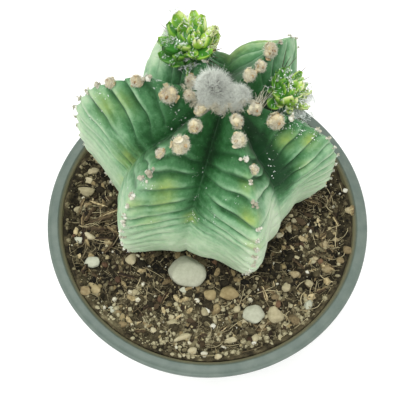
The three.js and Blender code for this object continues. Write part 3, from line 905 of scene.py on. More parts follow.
def wood_piece(rng, length, width):
    """A splinter of bark along +X: flattened rings with ragged widths, bent a little."""
    rows, columns = 16, 12
    along = np.linspace(0, 1, rows)[:, None]
    angle = -round_steps(columns)[None, :]
    taper = (1 - np.abs(2 * along - 1) ** 5) ** 0.5 + 0.12
    ragged = 1 + 0.22 * rng.normal(0, 1, (rows, 1)) + 0.1 * rng.normal(0, 1, (rows, columns))
    x = (along - 0.5) * length + 0.1 * width * rng.normal(0, 1, (rows, columns))
    y = 0.5 * width * taper * ragged * np.cos(angle) + rng.uniform(-1, 1) * width * along**2
    z = 0.24 * width * taper * ragged * np.sin(angle) + 0.5 * np.sin(np.pi * along)
    fibre = 0.3 * rng.normal(0, 1, (1, columns)) + 0.1 * rng.normal(0, 1, (rows, columns))
    return ring_surface(points_of(x, y, z), fibre=fibre)


def wood_pieces():
    """The larger pieces of bark and wood, laid on the soil one by one."""
    pieces = []
    for number, (x, y, heading, length, width, tone) in enumerate(WOOD_PIECES):
        rng = np.random.default_rng(600 + number)
        piece = wood_piece(rng, length, width)
        turn = math.radians(heading)
        axes = np.array([[(math.cos(turn), math.sin(turn), rng.uniform(-0.12, 0.12)),
                          (-math.sin(turn), math.cos(turn), 0), (0, 0, 1)]])
        place = np.array([[x, y, soil_height(x, y) + 0.9]])
        laid = scatter(piece, place, axes, np.array([[1.0, 0.75, 1.0]]), tone=np.array([tone]))
        laid.values["tone"] = laid.values["tone"] + laid.values.pop("fibre")
        pieces.append(laid)
    return join(pieces)


# Where straws lie thick: x, y, spread in mm, heading in degrees and how many.
STRAW_HEAPS = (
    (-47, -6, 5, 15, 46), (54, -8, 4, 50, 22), (46, 10, 4, 10, 18), (53, -21, 4, -30, 18),
    (30, -44, 8, 60, 34), (2, -50, 10, 20, 30), (-30, -34, 8, -40, 24), (50, -34, 6, 110, 18),
    (57, 8, 4, 80, 16), (-54, -24, 5, 70, 14),
)


def kept_in_pot(x, y, margin):
    """Places drawn in towards the middle where they would lie past the soil's edge."""
    shrink = np.minimum(1, (SOIL_EDGE - margin) / np.hypot(x, y))
    return x * shrink, y * shrink


def straws(rng):
    """Dry straws and stalks, 3 to 11 mm long, that lie in loose heaps and bend a little."""
    heaps = np.array(STRAW_HEAPS, float)
    heap = np.repeat(heaps, heaps[:, 4].astype(int), axis=0)
    count = len(heap)
    steps = 7
    heading = np.radians(heap[:, 3] + rng.normal(0, 38, count))[:, None]
    turn = heading + rng.normal(0, 0.5, (count, 1)) * np.linspace(0, 1, steps)
    length = rng.uniform(3, 11, (count, 1))
    middle = heap[:, :2] + rng.normal(0, 1, (count, 2)) * heap[:, 2:3]
    reach = np.linspace(-0.5, 0.5, steps) * length
    x, y = kept_in_pot(middle[:, :1] + reach * np.cos(turn), middle[:, 1:] + reach * np.sin(turn), 2)
    lift = 0.9 + rng.uniform(0, 0.9, (count, 1))
    lift = lift + 0.3 * rng.normal(0, 1, (count, 1)) * np.linspace(-1, 1, steps)
    radii = rng.uniform(0.1, 0.28, (count, 1)) * np.linspace(1, 0.6, steps)
    paths = points_of(x, y, soil_height(x, y) + lift)
    return strands(paths, radii, tone=rng.uniform(-0.6, 0.6, count))


# Reddish lumps of bark: x, y and width in mm.
BARK_LUMPS = (
    (4.3, -21.6, 4.2), (31.1, -39.1, 4.8), (-43.5, -25.3, 4.0), (-37.1, -31.6, 3.6), (42.2, -11.9, 3.4),
    (-18.4, -39.4, 3.2), (19.8, -54.1, 3.4), (50.2, -19.4, 3.0), (-48.6, -36.6, 3.4), (-58.4, -13.5, 2.8),
)


def bark_lumps(rng):
    """Soft reddish lumps of bark that lie on the soil one by one, as rough balls."""
    x, y, width = np.array(BARK_LUMPS).T
    places = points_of(x, y, soil_height(x, y) + 0.7)
    lump = ball(14, 20, lambda d: 0.9 + 0.34 * layered_noise(d * 2.0 + 5, 1.0, 71, 4))
    scales = width[:, None] / 2 * rng.uniform(0.7, 1.1, (len(places), 3)) * (1, 1, 0.7)
    axes = random_axes(rng, len(places))
    return scatter(lump, places, axes, scales, tone=rng.uniform(0.2, 0.8, len(places)))


def bark_bits(rng, count):
    """Flat chips of bark and splinters of wood that lie on the soil."""
    places = open_ground(rng, count, 3.5)
    length = 0.8 + 2.6 * rng.uniform(0, 1, len(places)) ** 2
    width = rng.uniform(0.25, 0.6, len(places))
    thickness = rng.uniform(0.12, 0.3, len(places))
    scales = length[:, None] * points_of(1.0, width, thickness)
    places[:, 2] += 0.5
    return scatter(grain(rng), places, random_axes(rng, len(places), 0.75), scales,
                   tone=rng.uniform(0, 1, len(places)))


def pale_grit(rng, count):
    """Small pale grains: perlite, grit and bits of shell."""
    places = open_ground(rng, count, 1.6)
    size = 0.25 + 1.15 * rng.uniform(0, 1, len(places)) ** 4
    scales = size[:, None] * rng.uniform(0.7, 1.15, (len(places), 3))
    places[:, 2] += 0.5 * size
    return scatter(grain(rng), places, random_axes(rng, len(places)), scales,
                   tone=rng.uniform(0, 1, len(places)))


def fine_roots(rng, count):
    """Dry fibres that lie on the soil in short curls, 2 to 8 mm long."""
    steps = 9
    roots = open_ground(rng, count, 4)
    count = len(roots)
    length = rng.uniform(2, 8, count)
    turn = rng.uniform(0, 2 * np.pi, (count, 1)) + np.cumsum(rng.normal(0, 0.38, (count, steps)), axis=1)
    stride = (length / (steps - 1))[:, None]
    x = roots[:, :1] + np.cumsum(stride * np.cos(turn), axis=1)
    y = roots[:, 1:2] + np.cumsum(stride * np.sin(turn), axis=1)
    x, y = kept_in_pot(x, y, 1.5)
    lift = 0.35 + 1.1 * np.sin(np.linspace(0, np.pi, steps)) * rng.uniform(0, 1, (count, 1))
    paths = points_of(x, y, lumpy_soil_height(x, y) + lift)
    radii = rng.uniform(0.06, 0.15, (count, 1)) * np.linspace(1, 0.5, steps)
    return strands(paths, radii, tone=rng.uniform(-0.5, 0.7, count))


class CACTUS_OT_soil(bpy.types.Operator):
    """Lays the potting soil and scatters crumbs, bark, grit and fine roots over it"""

    bl_idname = "cactus.make_soil"
    bl_label = "Make Soil"

    def execute(self, context):
        sizes = context.scene.cactus_soil
        rng = np.random.default_rng(7)
        peat = speckled_material("potting_soil_moist_peat", (
            (0.0, "#13110a"), (0.3, "#2e291b"), (0.55, "#554d37"), (0.8, "#857d5f"), (1.0, "#b5ae8d")),
            1.1, 0.8, 0.95)
        bark = speckled_material("pine_bark_chipped", (
            (0.0, "#231a10"), (0.4, "#524430"), (0.75, "#8f7f5a"), (1.0, "#cdbd92")), 1.2, 0.3, 0.85)
        grit = speckled_material("horticultural_grit", (
            (0.0, "#6b5c3e"), (0.35, "#9c8e66"), (0.7, "#bdb592"), (1.0, "#dcdac8")), 0.8, 0.1, 0.8)
        fibre = fibre_material("root_fibre_dry", "#5f5137", "#c8bb92", 0.0)
        bed = put_piece("soil_bed", soil_bed(), peat)
        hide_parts("soil")
        crumbs = put_piece("peat_crumbs", soil_crumbs(rng, sizes.crumb_count), peat, smooth=False)
        chips = put_piece("bark_chips", bark_bits(rng, sizes.bark_count), bark, smooth=False)
        clods = put_piece("peat_clods", peat_clods(rng, sizes.clod_count), peat)
        wood = put_piece("wood_pieces", wood_pieces(), bark)
        red_bark = speckled_material("bark_reddish_rotted", (
            (0.0, "#24190f"), (0.4, "#554030"), (0.75, "#7d6148"), (1.0, "#a08a6c")), 1.3, 0.5, 0.9)
        lumps = put_piece("bark_lumps", bark_lumps(np.random.default_rng(808)), red_bark)
        grains = put_piece("pale_grit", pale_grit(rng, sizes.grit_count), grit, smooth=False)
        roots = put_piece("fine_roots", fine_roots(rng, sizes.root_count), fibre)
        stalks = put_piece("straws", straws(rng), fibre)
        return {"FINISHED"}


# Small stones between the larger ones: x, y and width in mm, and tone from dark to white.
LOOSE_PEBBLES = (
    (61.2, -15.0, 4.0, 0.35), (58.3, -19.3, 3.5, 0.45), (62.0, 13.0, 2.2, 1.0), (6.9, -62.0, 2.8, 0.7),
    (32.8, -8.0, 3.1, 0.8), (62.6, 3.1, 3.4, 0.6), (38.5, -26.1, 4.6, 0.55), (38.2, -45.6, 5.6, 0.3),
    (52.1, -11.8, 3.8, 0.55), (-54.6, 2.3, 3.6, 0.4), (-30.9, -36.8, 2.6, 0.8), (7.1, -14.9, 2.6, 0.5),
    (-7.8, -31.9, 3.0, 0.95), (-5.0, -32.6, 2.6, 0.9), (1.7, -42.9, 2.4, 1.0), (-2.7, -38.9, 2.2, 0.9),
    (-49.0, -38.1, 4.0, 0.45), (4.4, -49.3, 2.4, 1.0), (17.6, -47.1, 2.8, 0.75), (21.4, -55.6, 2.2, 1.0),
    (-13.0, -46.4, 2.4, 0.7), (-3.7, -60.1, 3.6, 0.75), (1.3, -61.2, 2.8, 0.9), (-35.3, -45.6, 2.6, 0.4),
    (-32.4, -50.9, 3.4, 0.4), (53.3, -22.2, 5.4, 0.5), (57.5, -9.0, 3.2, 0.6), (30.2, -36.0, 3.2, 0.3),
    (-20.0, -52.0, 2.4, 0.8), (44.0, -36.0, 2.6, 0.5), (9.0, -58.0, 2.2, 0.9), (-15.5, -57.0, 2.2, 0.7),
    (-42.0, -8.0, 3.0, 0.35), (-44.0, -15.0, 2.6, 0.5), (48.0, -18.0, 2.6, 0.6), (25.0, -48.6, 2.6, 0.6),
)


# Stones drawn larger or paler than their CAD body: growth below and above in mm, and tone.
STONE_GROWTH = {
    "stone_01": ((1.0, 1.9, 0.4), (1.0, 0.9, 0.8), 0),
    "stone_02": ((0.5, 0.5, 0.2), (0.6, 0.5, 0.6), 0.2),
    "stone_09": ((0.8, 0.1, 0.0), (0.8, 0.2, 0.4), 0.2),
    "stone_10": ((0.8, 0.1, 0.0), (0.8, 0.2, 0.4), 0.2),
}


def worn_stone(rng, low, high, rows=28, columns=44):
    """A worn pebble a little larger than the box from low to high.

    It is cut by random planes. The distance to each plane is summed at a high power, which
    rounds the edges between them, and a fine noise roughens the faces.
    """
    cuts = 22
    power = 11
    planes = unit(rng.normal(0, 1, (cuts, 3)))
    reach = rng.uniform(0.84, 1.0, cuts)

    def radius_at(directions):
        """The summed distance to the planes in each direction."""
        facing = np.maximum(directions @ planes.T, 0) / reach
        return (facing**power).sum(axis=-1) ** (-1 / power)

    stone = ball(rows, columns, radius_at)
    points = stone.points
    points -= (points.max(axis=0) + points.min(axis=0)) / 2
    points *= (high - low) / 2 / points.max(axis=0)
    size = (high - low).mean()
    rough = layered_noise(points + rng.uniform(0, 99, 3), size / 3, 3, 4)
    stone.points = points * (1.08 + 0.06 * rough[:, None]) + (low + high) / 2
    stone.values["tone"] = np.full(len(points), rng.uniform(0.35, 0.75))
    return stone


def loose_pebbles():
    """The small stones between the larger ones, set a little way into the soil."""
    pebbles = []
    for number, (x, y, width, tone) in enumerate(LOOSE_PEBBLES):
        rng = np.random.default_rng(300 + number)
        size = np.array([width, width * rng.uniform(0.7, 1.0), width * 0.6])
        centre = np.array([x, y, soil_height(x, y) + 0.2 * width])
        pebble = worn_stone(rng, centre - size / 2, centre + size / 2, 12, 18)
        pebble.values["tone"] = np.full(len(pebble.points), tone)
        pebbles.append(pebble)
    return join(pebbles)


class CACTUS_OT_stones(bpy.types.Operator):
    """Shapes each stone on the soil"""

    bl_idname = "cactus.make_stones"
    bl_label = "Make Stones"

    def execute(self, context):
        finishes = {
            "stone_white": speckled_material("limestone_white_worn", (
                (0.0, "#74756a"), (0.35, "#a6a892"), (0.7, "#bfc1ac"), (1.0, "#d2d3c2")), 1.6, 0.4, 0.85),
            "stone_cream": speckled_material("limestone_cream_worn", (
                (0.0, "#655f46"), (0.35, "#958c6c"), (0.7, "#b6ad8b"), (1.0, "#cfc8ad")), 1.6, 0.4, 0.88),
            "stone_tan": speckled_material("sandstone_tan_worn", (
                (0.0, "#5c5036"), (0.35, "#8a7a55"), (0.7, "#b0a179"), (1.0, "#cdc2a3")), 1.8, 0.3, 0.88),
        }
        gravel = speckled_material("gravel_mixed_worn", (
            (0.1, "#4f4432"), (0.45, "#8a7a58"), (0.75, "#b8ae8c"), (1.0, "#d4d3c4")), 1.2, 0.2, 0.85)
        put_piece("loose_pebbles", loose_pebbles(), gravel)
        slots = {part["node"]: part["material_slot"] for part in frame["record"]["subparts"]}
        for node in cad_nodes("stone_"):
            rng = np.random.default_rng(int(node[-2:]))
            low, high = cad_box(node)
            below, above, pale = STONE_GROWTH.get(node, ((0, 0, 0), (0, 0, 0), 0))
            shape = worn_stone(rng, low - below, high + above)
            shape.values["tone"] = shape.values["tone"] + pale
            stone = put_piece("pebble_" + node[-2:], shape, finishes[slots[node]])
            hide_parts(node)
        return {"FINISHED"}


# ---------- the stem ----------

class StemSizes(bpy.types.PropertyGroup):
    """Relief of the stem's skin."""

    fold: bpy.props.FloatProperty(
        name="Folds", description="Height of the folds that cross each flank",
        default=1.7 * MM, **LENGTH)
    bead: bpy.props.FloatProperty(
        name="Crest Beads", description="Height of the bead at each areole on a crest",
        default=0.9 * MM, **LENGTH)


# How many folds lie above each tilt: they stand closer together lower on the stem.
FOLD_COUNT = (
    (0, 0), (20, 2.4), (35, 4.4), (50, 6.4), (65, 8.6),
    (80, 11.4), (100, 15.8), (130, 23), (180, 35),
)

# How far in degrees the folds dip on each rib's crest and in the groove after it.
FOLD_DIPS = ((2, 3), (0, 0), (0, 0), (3, 9), (0, -4), (3, 9))

# The areoles down each rib's crest, by tilt in degrees and width in mm.
AREOLES = (
    ((29.8, 2.6), (41.5, 1.9), (48, 1.4), (54, 1.4), (60, 1.3), (66, 1.3), (72, 1.2), (79, 1.2), (87, 1.0)),
    ((37.3, 2.2), (46, 1.6), (54, 1.4), (62, 1.4), (71, 1.2), (80, 1.2)),
    ((20, 2), (30, 2), (38, 1.8), (47, 1.6), (56, 1.4), (66, 1.4), (76, 1.2)),
    ((28.8, 3.8), (48, 2.8), (53.5, 2.2), (59, 2), (65, 2), (71, 1.9), (77, 1.8), (84, 1.5), (91, 1.2)),
    ((41.3, 3.2), (44.6, 2.8), (51.2, 2.7), (56.3, 2.3), (61, 1.6), (66.4, 2.4), (71.5, 1.8),
     (76.8, 2.2), (83, 1.6), (90, 1.6), (97, 1.3)),
    ((28.3, 2.6), (37, 1.7), (43.9, 2.5), (52.7, 2.3), (58, 1.5), (63.3, 2.1), (69, 2), (75, 2),
     (81, 1.8), (87, 1.6), (93, 1.4), (99, 1.3)),
)

# Corky pads away from the crests: tilt, heading and width.
STRAY_PADS = ((98, 190, 2.6), (93, 187, 1.6))


def fold_phase(tilt, heading):
    """How many folds lie above a point. They dip by their own amount on every crest and in
    every groove, turn down sharply at the crests, and wander a little."""
    left, _, even = flank_place(heading)
    crest = np.where(even < 0.5, left, (left + 1) % len(RIBS))
    rise = from_groove(heading)
    dips = np.array(FOLD_DIPS, float)
    dip = dips[left, 1] + (dips[crest, 0] - dips[left, 1]) * rise + 3 * rise**5
    places = stem_point(tilt, heading)
    wander = 2.3 * soft_noise(places, 15.0, 2) + 1.3 * soft_noise(places, 6.0, 4)
    return smooth_through(FOLD_COUNT, np.clip(tilt - dip + wander, 0, 180))


def crest_beads(tilt, heading):
    """Round beads on the crests, one at each areole, as bells in tilt and heading."""
    beads = np.zeros(np.broadcast(tilt, heading).shape)
    for (crest, _, _), row in zip(RIBS, AREOLES):
        away = (heading - crest + 180) % 360 - 180
        for areole_tilt, width in row:
            beads = np.maximum(beads, bump(tilt - areole_tilt, 1.1 + 0.4 * width) * bump(away, 4.0))
    return beads


def skin_relief(tilt, heading, sizes):
    """The skin's height above the smooth stem, and the fold's profile and strength there.

    Each fold swells slowly and ends in a steep step down to the next, like a row of lapped
    pads. The folds fade out round the crown and in the grooves, and are finer near the soil.
    """
    rise = from_groove(heading)
    places = stem_point(tilt, heading)
    phase = fold_phase(tilt, heading)
    part = np.mod(phase, 1)
    swelling = ease(part, 0.0, 0.62) * (1 - ease(part, 0.84, 1.0))
    strength = ease(tilt, 14, 38) * (1 - 0.62 * ease(tilt, 62, 84)) * (0.2 + 0.8 * ease(rise, 0.08, 0.62))
    strength = strength * np.clip(0.8 + 0.95 * soft_noise(places, 9.0, 21), 0.1, 1.5)
    strength = strength * (1 - 0.5 * ease(rise, 0.88, 1.0))
    strength = strength * (1 - ease(tilt, 60, 82) * (1 - ease(rise, 0.3, 0.85)))
    height = sizes.fold / MM * strength * (swelling - 0.6)
    height = height + sizes.bead / MM * crest_beads(tilt, heading)
    height = height - 0.7 * bump(1 - rise, 0.06) * ease(tilt, 5, 20)
    height = height - 0.55 * bump(rise, 0.13) * ease(tilt, 3, 12) * (1 - 0.6 * ease(tilt, 75, 105))
    height = height + 0.7 * soft_noise(places, 13.0, 8) * ease(tilt, 10, 30)
    height = height + 0.26 * layered_noise(places, 3.4, 9, 4)
    fine = ease(tilt, 30, 55) * (1 - 0.6 * ease(tilt, 62, 80))
    height = height + 0.22 * growth_lines(phase, heading) * fine
    left_crest = bump(turned(heading) - RIBS[3][0], 9) * ease(tilt, 20, 36) * (1 - ease(tilt, 60, 75))
    return height + 1.5 * left_crest, swelling, strength


def growth_lines(phase, heading):
    """Fine uneven lines that run along the folds: noise that is stretched along them."""
    stretched = points_of(phase * 3.4, heading * 0.11, 0)
    return layered_noise(stretched, 1.0, 41, 3)


# Patches where the green has faded to yellow: tilt, heading, radius in mm and strength.
SUN_PATCHES = (
    (47, 238, 4.0, 1.0), (53, 240, 4.0, 0.7), (56, 231, 3.5, 0.6), (35, 337, 3.0, 0.6),
    (43, 343, 3.0, 0.7), (50, 284, 3.5, 0.8), (62, 286, 3.0, 0.9), (38, 285, 3.0, 0.5),
    (62, 56, 7.0, 0.75), (52, 66, 7.0, 0.8), (48, 80, 7.0, 0.6), (62, 197, 5.0, 0.6), (64, 254, 2.5, 0.9),
    (50, 179, 5.0, 0.5), (43, 180, 4.5, 0.4),
    (64, 237, 4.5, 0.4), (52, 334, 2.6, 0.4), (80, 203, 3.0, 0.9), (46, 60, 5.0, 0.4),
)

# How pale the skin is against degrees down from the top, from 0 for bare green to 1 for chalky: real wax,
# and low on the stem partly painted sheen where the skin turns away from view.
BLOOM_AND_PAINTED_SHEEN = (
    (0, 0.12), (20, 0.24), (35, 0.36), (50, 0.5), (62, 0.66),
    (78, 0.82), (100, 0.88), (130, 0.85), (180, 0.7),
)


def skin_bloom_and_painted_light(tilt, heading, places, strength):
    """How pale the skin is, from bare green to chalky wax: little round the crown and most below,
    where it is partly painted sheen as the skin turns away from view.

    Painted shade darkens the grooves and the skin just under each fold's step, and the skin is
    paler along the step's edge.
    """
    rise = from_groove(heading)
    around = turned(heading)
    part = np.mod(fold_phase(tilt, heading), 1)
    level = smooth_through(BLOOM_AND_PAINTED_SHEEN, tilt)
    # Painted shade: the skin is darker in the grooves, above the lower stem.
    level = level - 0.25 * bump(rise, 0.36) * (1 - ease(tilt, 62, 84))
    # Painted shade: the groove at the front right is painted much darker. The back left and back right
    # flanks are chalkier, the front right flank is paler, partly as painted sheen where it turns away
    # from view, and the front left one is a little paler above and darker below.
    level = level - 0.4 * bump(around - 321, 9) * (1 - ease(tilt, 48, 70))
    level = level + 0.34 * bump(around - 134, 22) * ease(tilt, 34, 52)
    level = level + 0.16 * bump(around - 72, 22) * ease(tilt, 30, 48)
    level = level + (0.2 + 0.26 * ease(tilt, 46, 66)) * bump(around - 303, 11) * ease(tilt, 30, 52)
    level = level + 0.06 * bump(around - 219, 8) * ease(tilt, 34, 58)
    level = level - 0.08 * bump(around - 212, 16) * ease(tilt, 60, 75)
    level = level + 0.12 * ease(rise, 0.8, 1.0) * ease(tilt, 32, 50)
    # Painted shade just under each fold's step, and paler along the step's edge.
    level = level + strength * (0.16 * bump(part - 0.8, 0.13) - 0.17 * bump(part - 0.12, 0.15))
    level = level + 0.09 * layered_noise(places, 11.0, 15, 3)
    streaky = ease(tilt, 25, 50) * (1 - 0.5 * ease(tilt, 62, 80))
    level = level + 0.15 * growth_lines(fold_phase(tilt, heading), heading) * streaky
    return np.clip(level, 0, 1)


def sun_strength(places):
    """How faded each place is, as bells round the patches' middles."""
    total = np.zeros(places.shape[:-1])
    for tilt, heading, radius, strength in SUN_PATCHES:
        away = np.linalg.norm(places - stem_point(tilt, heading), axis=-1)
        total = np.maximum(total, strength * bump(away, radius))
    return total


def ribbed_stem(sizes):
    """The stem's skin: rings of points from the crown to the buried foot.

    Each flank takes the same number of columns, so every crest and groove is a column. The
    relief is added to the distance from the stem's centre.
    """
    per_flank = 24
    headings = []
    for place, (heading, _, groove) in enumerate(RIBS):
        gap = (RIBS[(place + 1) % len(RIBS)][0] - heading) % 360
        share = np.linspace(0, 1, per_flank, endpoint=False)
        headings.append(heading + gap * groove * share)
        headings.append(heading + gap * (groove + (1 - groove) * share))
    heading = np.concatenate(headings)[None, :]
    tilt = np.concatenate([np.linspace(0.7, 113, 318), np.linspace(117, 177, 12)])[:, None]
    tilt, heading = np.broadcast_arrays(tilt, heading)
    height, swelling, strength = skin_relief(tilt, heading, sizes)
    rings = stem_point(tilt, heading, height * (1 - ease(tilt, 110, 125)))
    places = stem_point(tilt, heading)
    part = np.mod(fold_phase(tilt, heading), 1)
    # Painted shade in the crease under each fold's step.
    crease = np.clip(strength, 0, 1) * (bump(part, 0.07) + bump(part - 1, 0.07)) * 0.8
    # Painted shade: the groove at the front right is darkened below the crown, and the one in front a little.
    crease = crease + bump(turned(heading) - 320, 8) * ease(tilt, 18, 34) * (1 - ease(tilt, 48, 66))
    crease = crease + 0.15 * bump(turned(heading) - 255, 5) * ease(tilt, 14, 30) * (1 - ease(tilt, 60, 76))
    return ring_surface(
        rings, stem_point(0, 0), stem_point(180, 0),
        bloom=skin_bloom_and_painted_light(tilt, heading, places, strength),
        sun=sun_strength(places) * (0.3 + 0.7 * swelling), crease=np.clip(crease, 0, 0.85))


class CACTUS_OT_stem(bpy.types.Operator):
    """Grows the ribbed stem, with its creases, beads and faded patches"""

    bl_idname = "cactus.make_stem"
    bl_label = "Make Stem"

    def execute(self, context):
        stem = put_piece("ribbed_stem", ribbed_stem(context.scene.cactus_stem), waxy_skin())
        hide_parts("cactus_stem")
        return {"FINISHED"}


# ---------- areoles, wool and flecks ----------

class WoolSizes(bpy.types.PropertyGroup):
    """How thick and how fine the plant's wool is."""

    crown_hairs: bpy.props.IntProperty(
        name="Crown Hairs", description="Number of hairs in the crown's wool", default=11500, min=0)
    hair_radius: bpy.props.FloatProperty(
        name="Hair Radius", description="Radius of one hair of wool, drawn coarser than life",
        default=0.075 * MM, **LENGTH, precision=6)
    fleck_count: bpy.props.IntProperty(
        name="Flecks", description="Number of white flecks on the skin", default=70, min=0)


def tufts(rng, roots, normals, per_tuft, length, spread, radius):
    """Tufts of hairs: from each root some hairs fan out about its normal and curl."""
    count = len(roots) * per_tuft
    normal = np.repeat(normals, per_tuft, axis=0)
    size = np.repeat(np.broadcast_to(length, len(roots)), per_tuft)
    direction = unit(normal + spread * rng.normal(0, 1, (count, 3)))
    root = np.repeat(roots, per_tuft, axis=0) + rng.normal(0, 0.22, (count, 3)) * size[:, None]
    lengths = size * rng.uniform(0.6, 1.15, count)
    paths = curved_paths(root, direction, lengths, rng.normal(0, 0.35, (count, 3)) * size[:, None], 4)
    radii = radius * np.array([1.0, 1.0, 0.8, 0.35])
    return strands(paths, radii, tone=rng.uniform(0, 0.5, count))


def free_of_flowers(points, margin):
    """Which points lie at least a margin outside every dried flower's box."""
    free = np.ones(len(points), bool)
    for node in cad_nodes("dry_flower_"):
        low, high = cad_box(node)
        away = np.linalg.norm(points - (low + high) / 2, axis=-1)
        free &= away > (high - low).mean() / 2 + margin
    return free


def areole_pads(rng, tilt, heading, width, normals, sizes):
    """The dry felt pads of the areoles: each is a few flat grains pressed on its bead."""
    grains = 6
    places = stem_point(tilt, heading, skin_relief(tilt, heading, sizes)[0])
    places = np.repeat(places, grains, axis=0)
    size = np.repeat(width / 2, grains) * rng.uniform(0.4, 0.8, len(places))
    across = rng.normal(0, 0.24, places.shape) * np.repeat(width, grains)[:, None]
    scales = size[:, None] * np.array([1.0, 1.0, 0.7])
    axes = frames_along(np.repeat(normals, grains, axis=0), rng.uniform(0, 6, len(places)))
    return scatter(grain(rng), places + across, axes, 1.05 * scales, tone=rng.uniform(0.3, 0.95, len(places)))


# Where the white wool has rubbed off onto the skin: tilt, heading, spread in mm, how many.
SCURF_PATCHES = (
    (27, 171, 2.2, 90), (26, 196, 1.6, 10), (34, 346, 2.6, 60), (41, 347, 2.4, 50), (61, 255, 1.4, 16),
    (50, 256, 1.4, 12), (62, 261, 1.6, 14), (54, 268, 1.6, 14), (46, 229, 1.6, 34), (67, 230, 1.6, 26),
    (38, 250, 0.9, 8), (44, 280, 1.2, 10), (60, 287, 1.8, 34), (76, 287, 1.4, 22), (48, 175, 2.0, 26),
    (62, 177, 2.0, 22), (56, 350, 2.4, 26), (33, 330, 2.0, 14), (45, 320, 1.6, 10), (24, 188, 2.0, 22),
)


def skin_flecks(rng, count, sizes):
    """White flecks of wool on the skin: some anywhere, most of them in patches."""
    tilt = rng.uniform(18, 105, count)
    heading = rng.uniform(0, 360, count)
    places = [stem_point(tilt, heading)]
    for patch_tilt, patch_heading, spread, number in SCURF_PATCHES:
        middle = stem_point(patch_tilt, patch_heading)
        streak = rng.normal(0, 1, 3) * rng.normal(0, 0.8 * spread, (number, 1))
        places.append(middle + streak + rng.normal(0, 0.45 * spread, (number, 3)))
    tilt, heading = tilt_and_heading(np.concatenate(places))
    places = stem_point(tilt, heading, skin_relief(tilt, heading, sizes)[0])
    normals = stem_normal(tilt, heading)
    size = 0.07 + 0.16 * rng.uniform(0, 1, len(tilt)) ** 3
    scales = size[:, None] * points_of(rng.uniform(0.8, 3.2, len(tilt)), 1.0, 0.4)
    axes = frames_along(normals, rng.uniform(0, 2 * np.pi, len(tilt)))
    return scatter(grain(rng), places, axes, scales, tone=rng.uniform(0.4, 1, len(tilt)))


class CACTUS_OT_areoles(bpy.types.Operator):
    """Sets a felt pad and a tuft of wool on each areole, and flecks of wool on the skin"""

    bl_idname = "cactus.make_areoles"
    bl_label = "Make Areoles"

    def execute(self, context):
        rng = np.random.default_rng(21)
        sizes = context.scene.cactus_stem
        wool = context.scene.cactus_wool
        radius = wool.hair_radius / MM
        rows = [(tilt, rib[0], width) for rib, row in zip(RIBS, AREOLES) for tilt, width in row]
        rows += STRAY_PADS
        tilt, heading, width = np.array(rows).T
        free = free_of_flowers(stem_point(tilt, heading), 0.6)
        tilt, heading, width = tilt[free], heading[free], width[free]
        normals = stem_normal(tilt, heading)
        felt = speckled_material("areole_felt_dry", (
            (0.0, "#6f6a52"), (0.4, "#a09d88"), (0.75, "#c2c0ae"), (1.0, "#dedfd3")), 0.7, 0.15, 0.95)
        pads = areole_pads(rng, tilt, heading, width, normals, sizes)
        white = fibre_material("areole_wool", "#b4b8a6", "#edf1e8", 0.2)
        places = stem_point(tilt, heading, skin_relief(tilt, heading, sizes)[0])
        hair = tufts(rng, places, normals, 40, 0.36 * width, 0.9, 0.6 * radius)
        chalk = speckled_material("wool_flecks", (
            (0.0, "#b9c4bc"), (0.5, "#dfe6e0"), (1.0, "#f4f6f2")), 0.6, 0.05, 0.9)
        flecks = skin_flecks(rng, wool.fleck_count, sizes)
        for piece in (put_piece("areole_pads", pads, felt, smooth=False),
                      put_piece("areole_wool", hair, white),
                      put_piece("skin_flecks", flecks, chalk, smooth=False)):
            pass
        return {"FINISHED"}


# The crown's wool: the middle and half-widths of its three lumps.
WOOL_LUMPS = (
    ((0.0, 19.2, POT_TOP + 60.6), (6.2, 6.8, 6.2)),
    ((8.6, 17.8, POT_TOP + 58.8), (4.8, 4.6, 4.2)),
    ((3.2, 15.2, POT_TOP + 58.4), (6.4, 3.4, 3.2)),
)


def crown_fleece(rng, hairs, radius):
    """The crown's wool: soft lumps under a coat of fine hairs that stand out and curl."""
    parts = []
    area = np.array([size[0] * size[1] for _, size in WOOL_LUMPS])
    for (centre, size), share in zip(WOOL_LUMPS, area / area.sum()):
        centre, size = np.array(centre), np.array(size)
        core = ball(20, 32, lambda d: 0.80 + 0.06 * layered_noise(d * 3, 1.2, 6, 3))
        core.points = core.points * size + centre
        core.values = {"tone": np.full(len(core.points), 0.15), "along": np.full(len(core.points), 0.25)}
        parts.append(core)
        directions = fibonacci_directions(int(hairs * share))
        roots = centre + directions * size * 0.78
        kept = above_skin(roots) > -0.5
        directions, roots = directions[kept], roots[kept]
        count = len(roots)
        lean = unit(directions + 0.5 * rng.normal(0, 1, (count, 3)))
        lengths = size.mean() * rng.uniform(0.2, 0.36, count)
        bends = rng.normal(0, 0.14, (count, 3)) * size.mean()
        paths = curved_paths(roots, lean, lengths, bends, 3)
        radii = 0.6 * radius * np.array([1.1, 1.0, 0.3])
        parts.append(strands(paths, radii, tone=rng.uniform(0.0, 0.5, count)))
    return join(parts)


# The lower edge of the crown's wool, where it is tan: x and y of points along it in mm.
SKIRT_EDGE = (
    (-7.5, 17.4), (-5.3, 15.0), (-2.4, 13.2), (0.7, 12.6),
    (3.5, 13.2), (6.3, 14.0), (9.1, 15.0), (14.2, 17.2),
)


def wool_skirt(rng, radius):
    """The tan wool below the grey fleece: tufts along its lower edge, set on the skin."""
    count = 260
    edge = np.array(SKIRT_EDGE)
    share = rng.uniform(0, len(edge) - 1, count)
    x = np.interp(share, np.arange(len(edge)), edge[:, 0]) + rng.normal(0, 0.7, count)
    y = np.interp(share, np.arange(len(edge)), edge[:, 1]) + rng.normal(0, 0.8, count)
    tilt, heading = tilt_and_heading(points_of(x, y, STEM_CENTRE + 41))
    roots = stem_point(tilt, heading, rng.uniform(0.3, 1.6, count))
    return tufts(rng, roots, stem_normal(tilt, heading), 12, 1.2, 0.9, 0.8 * radius)


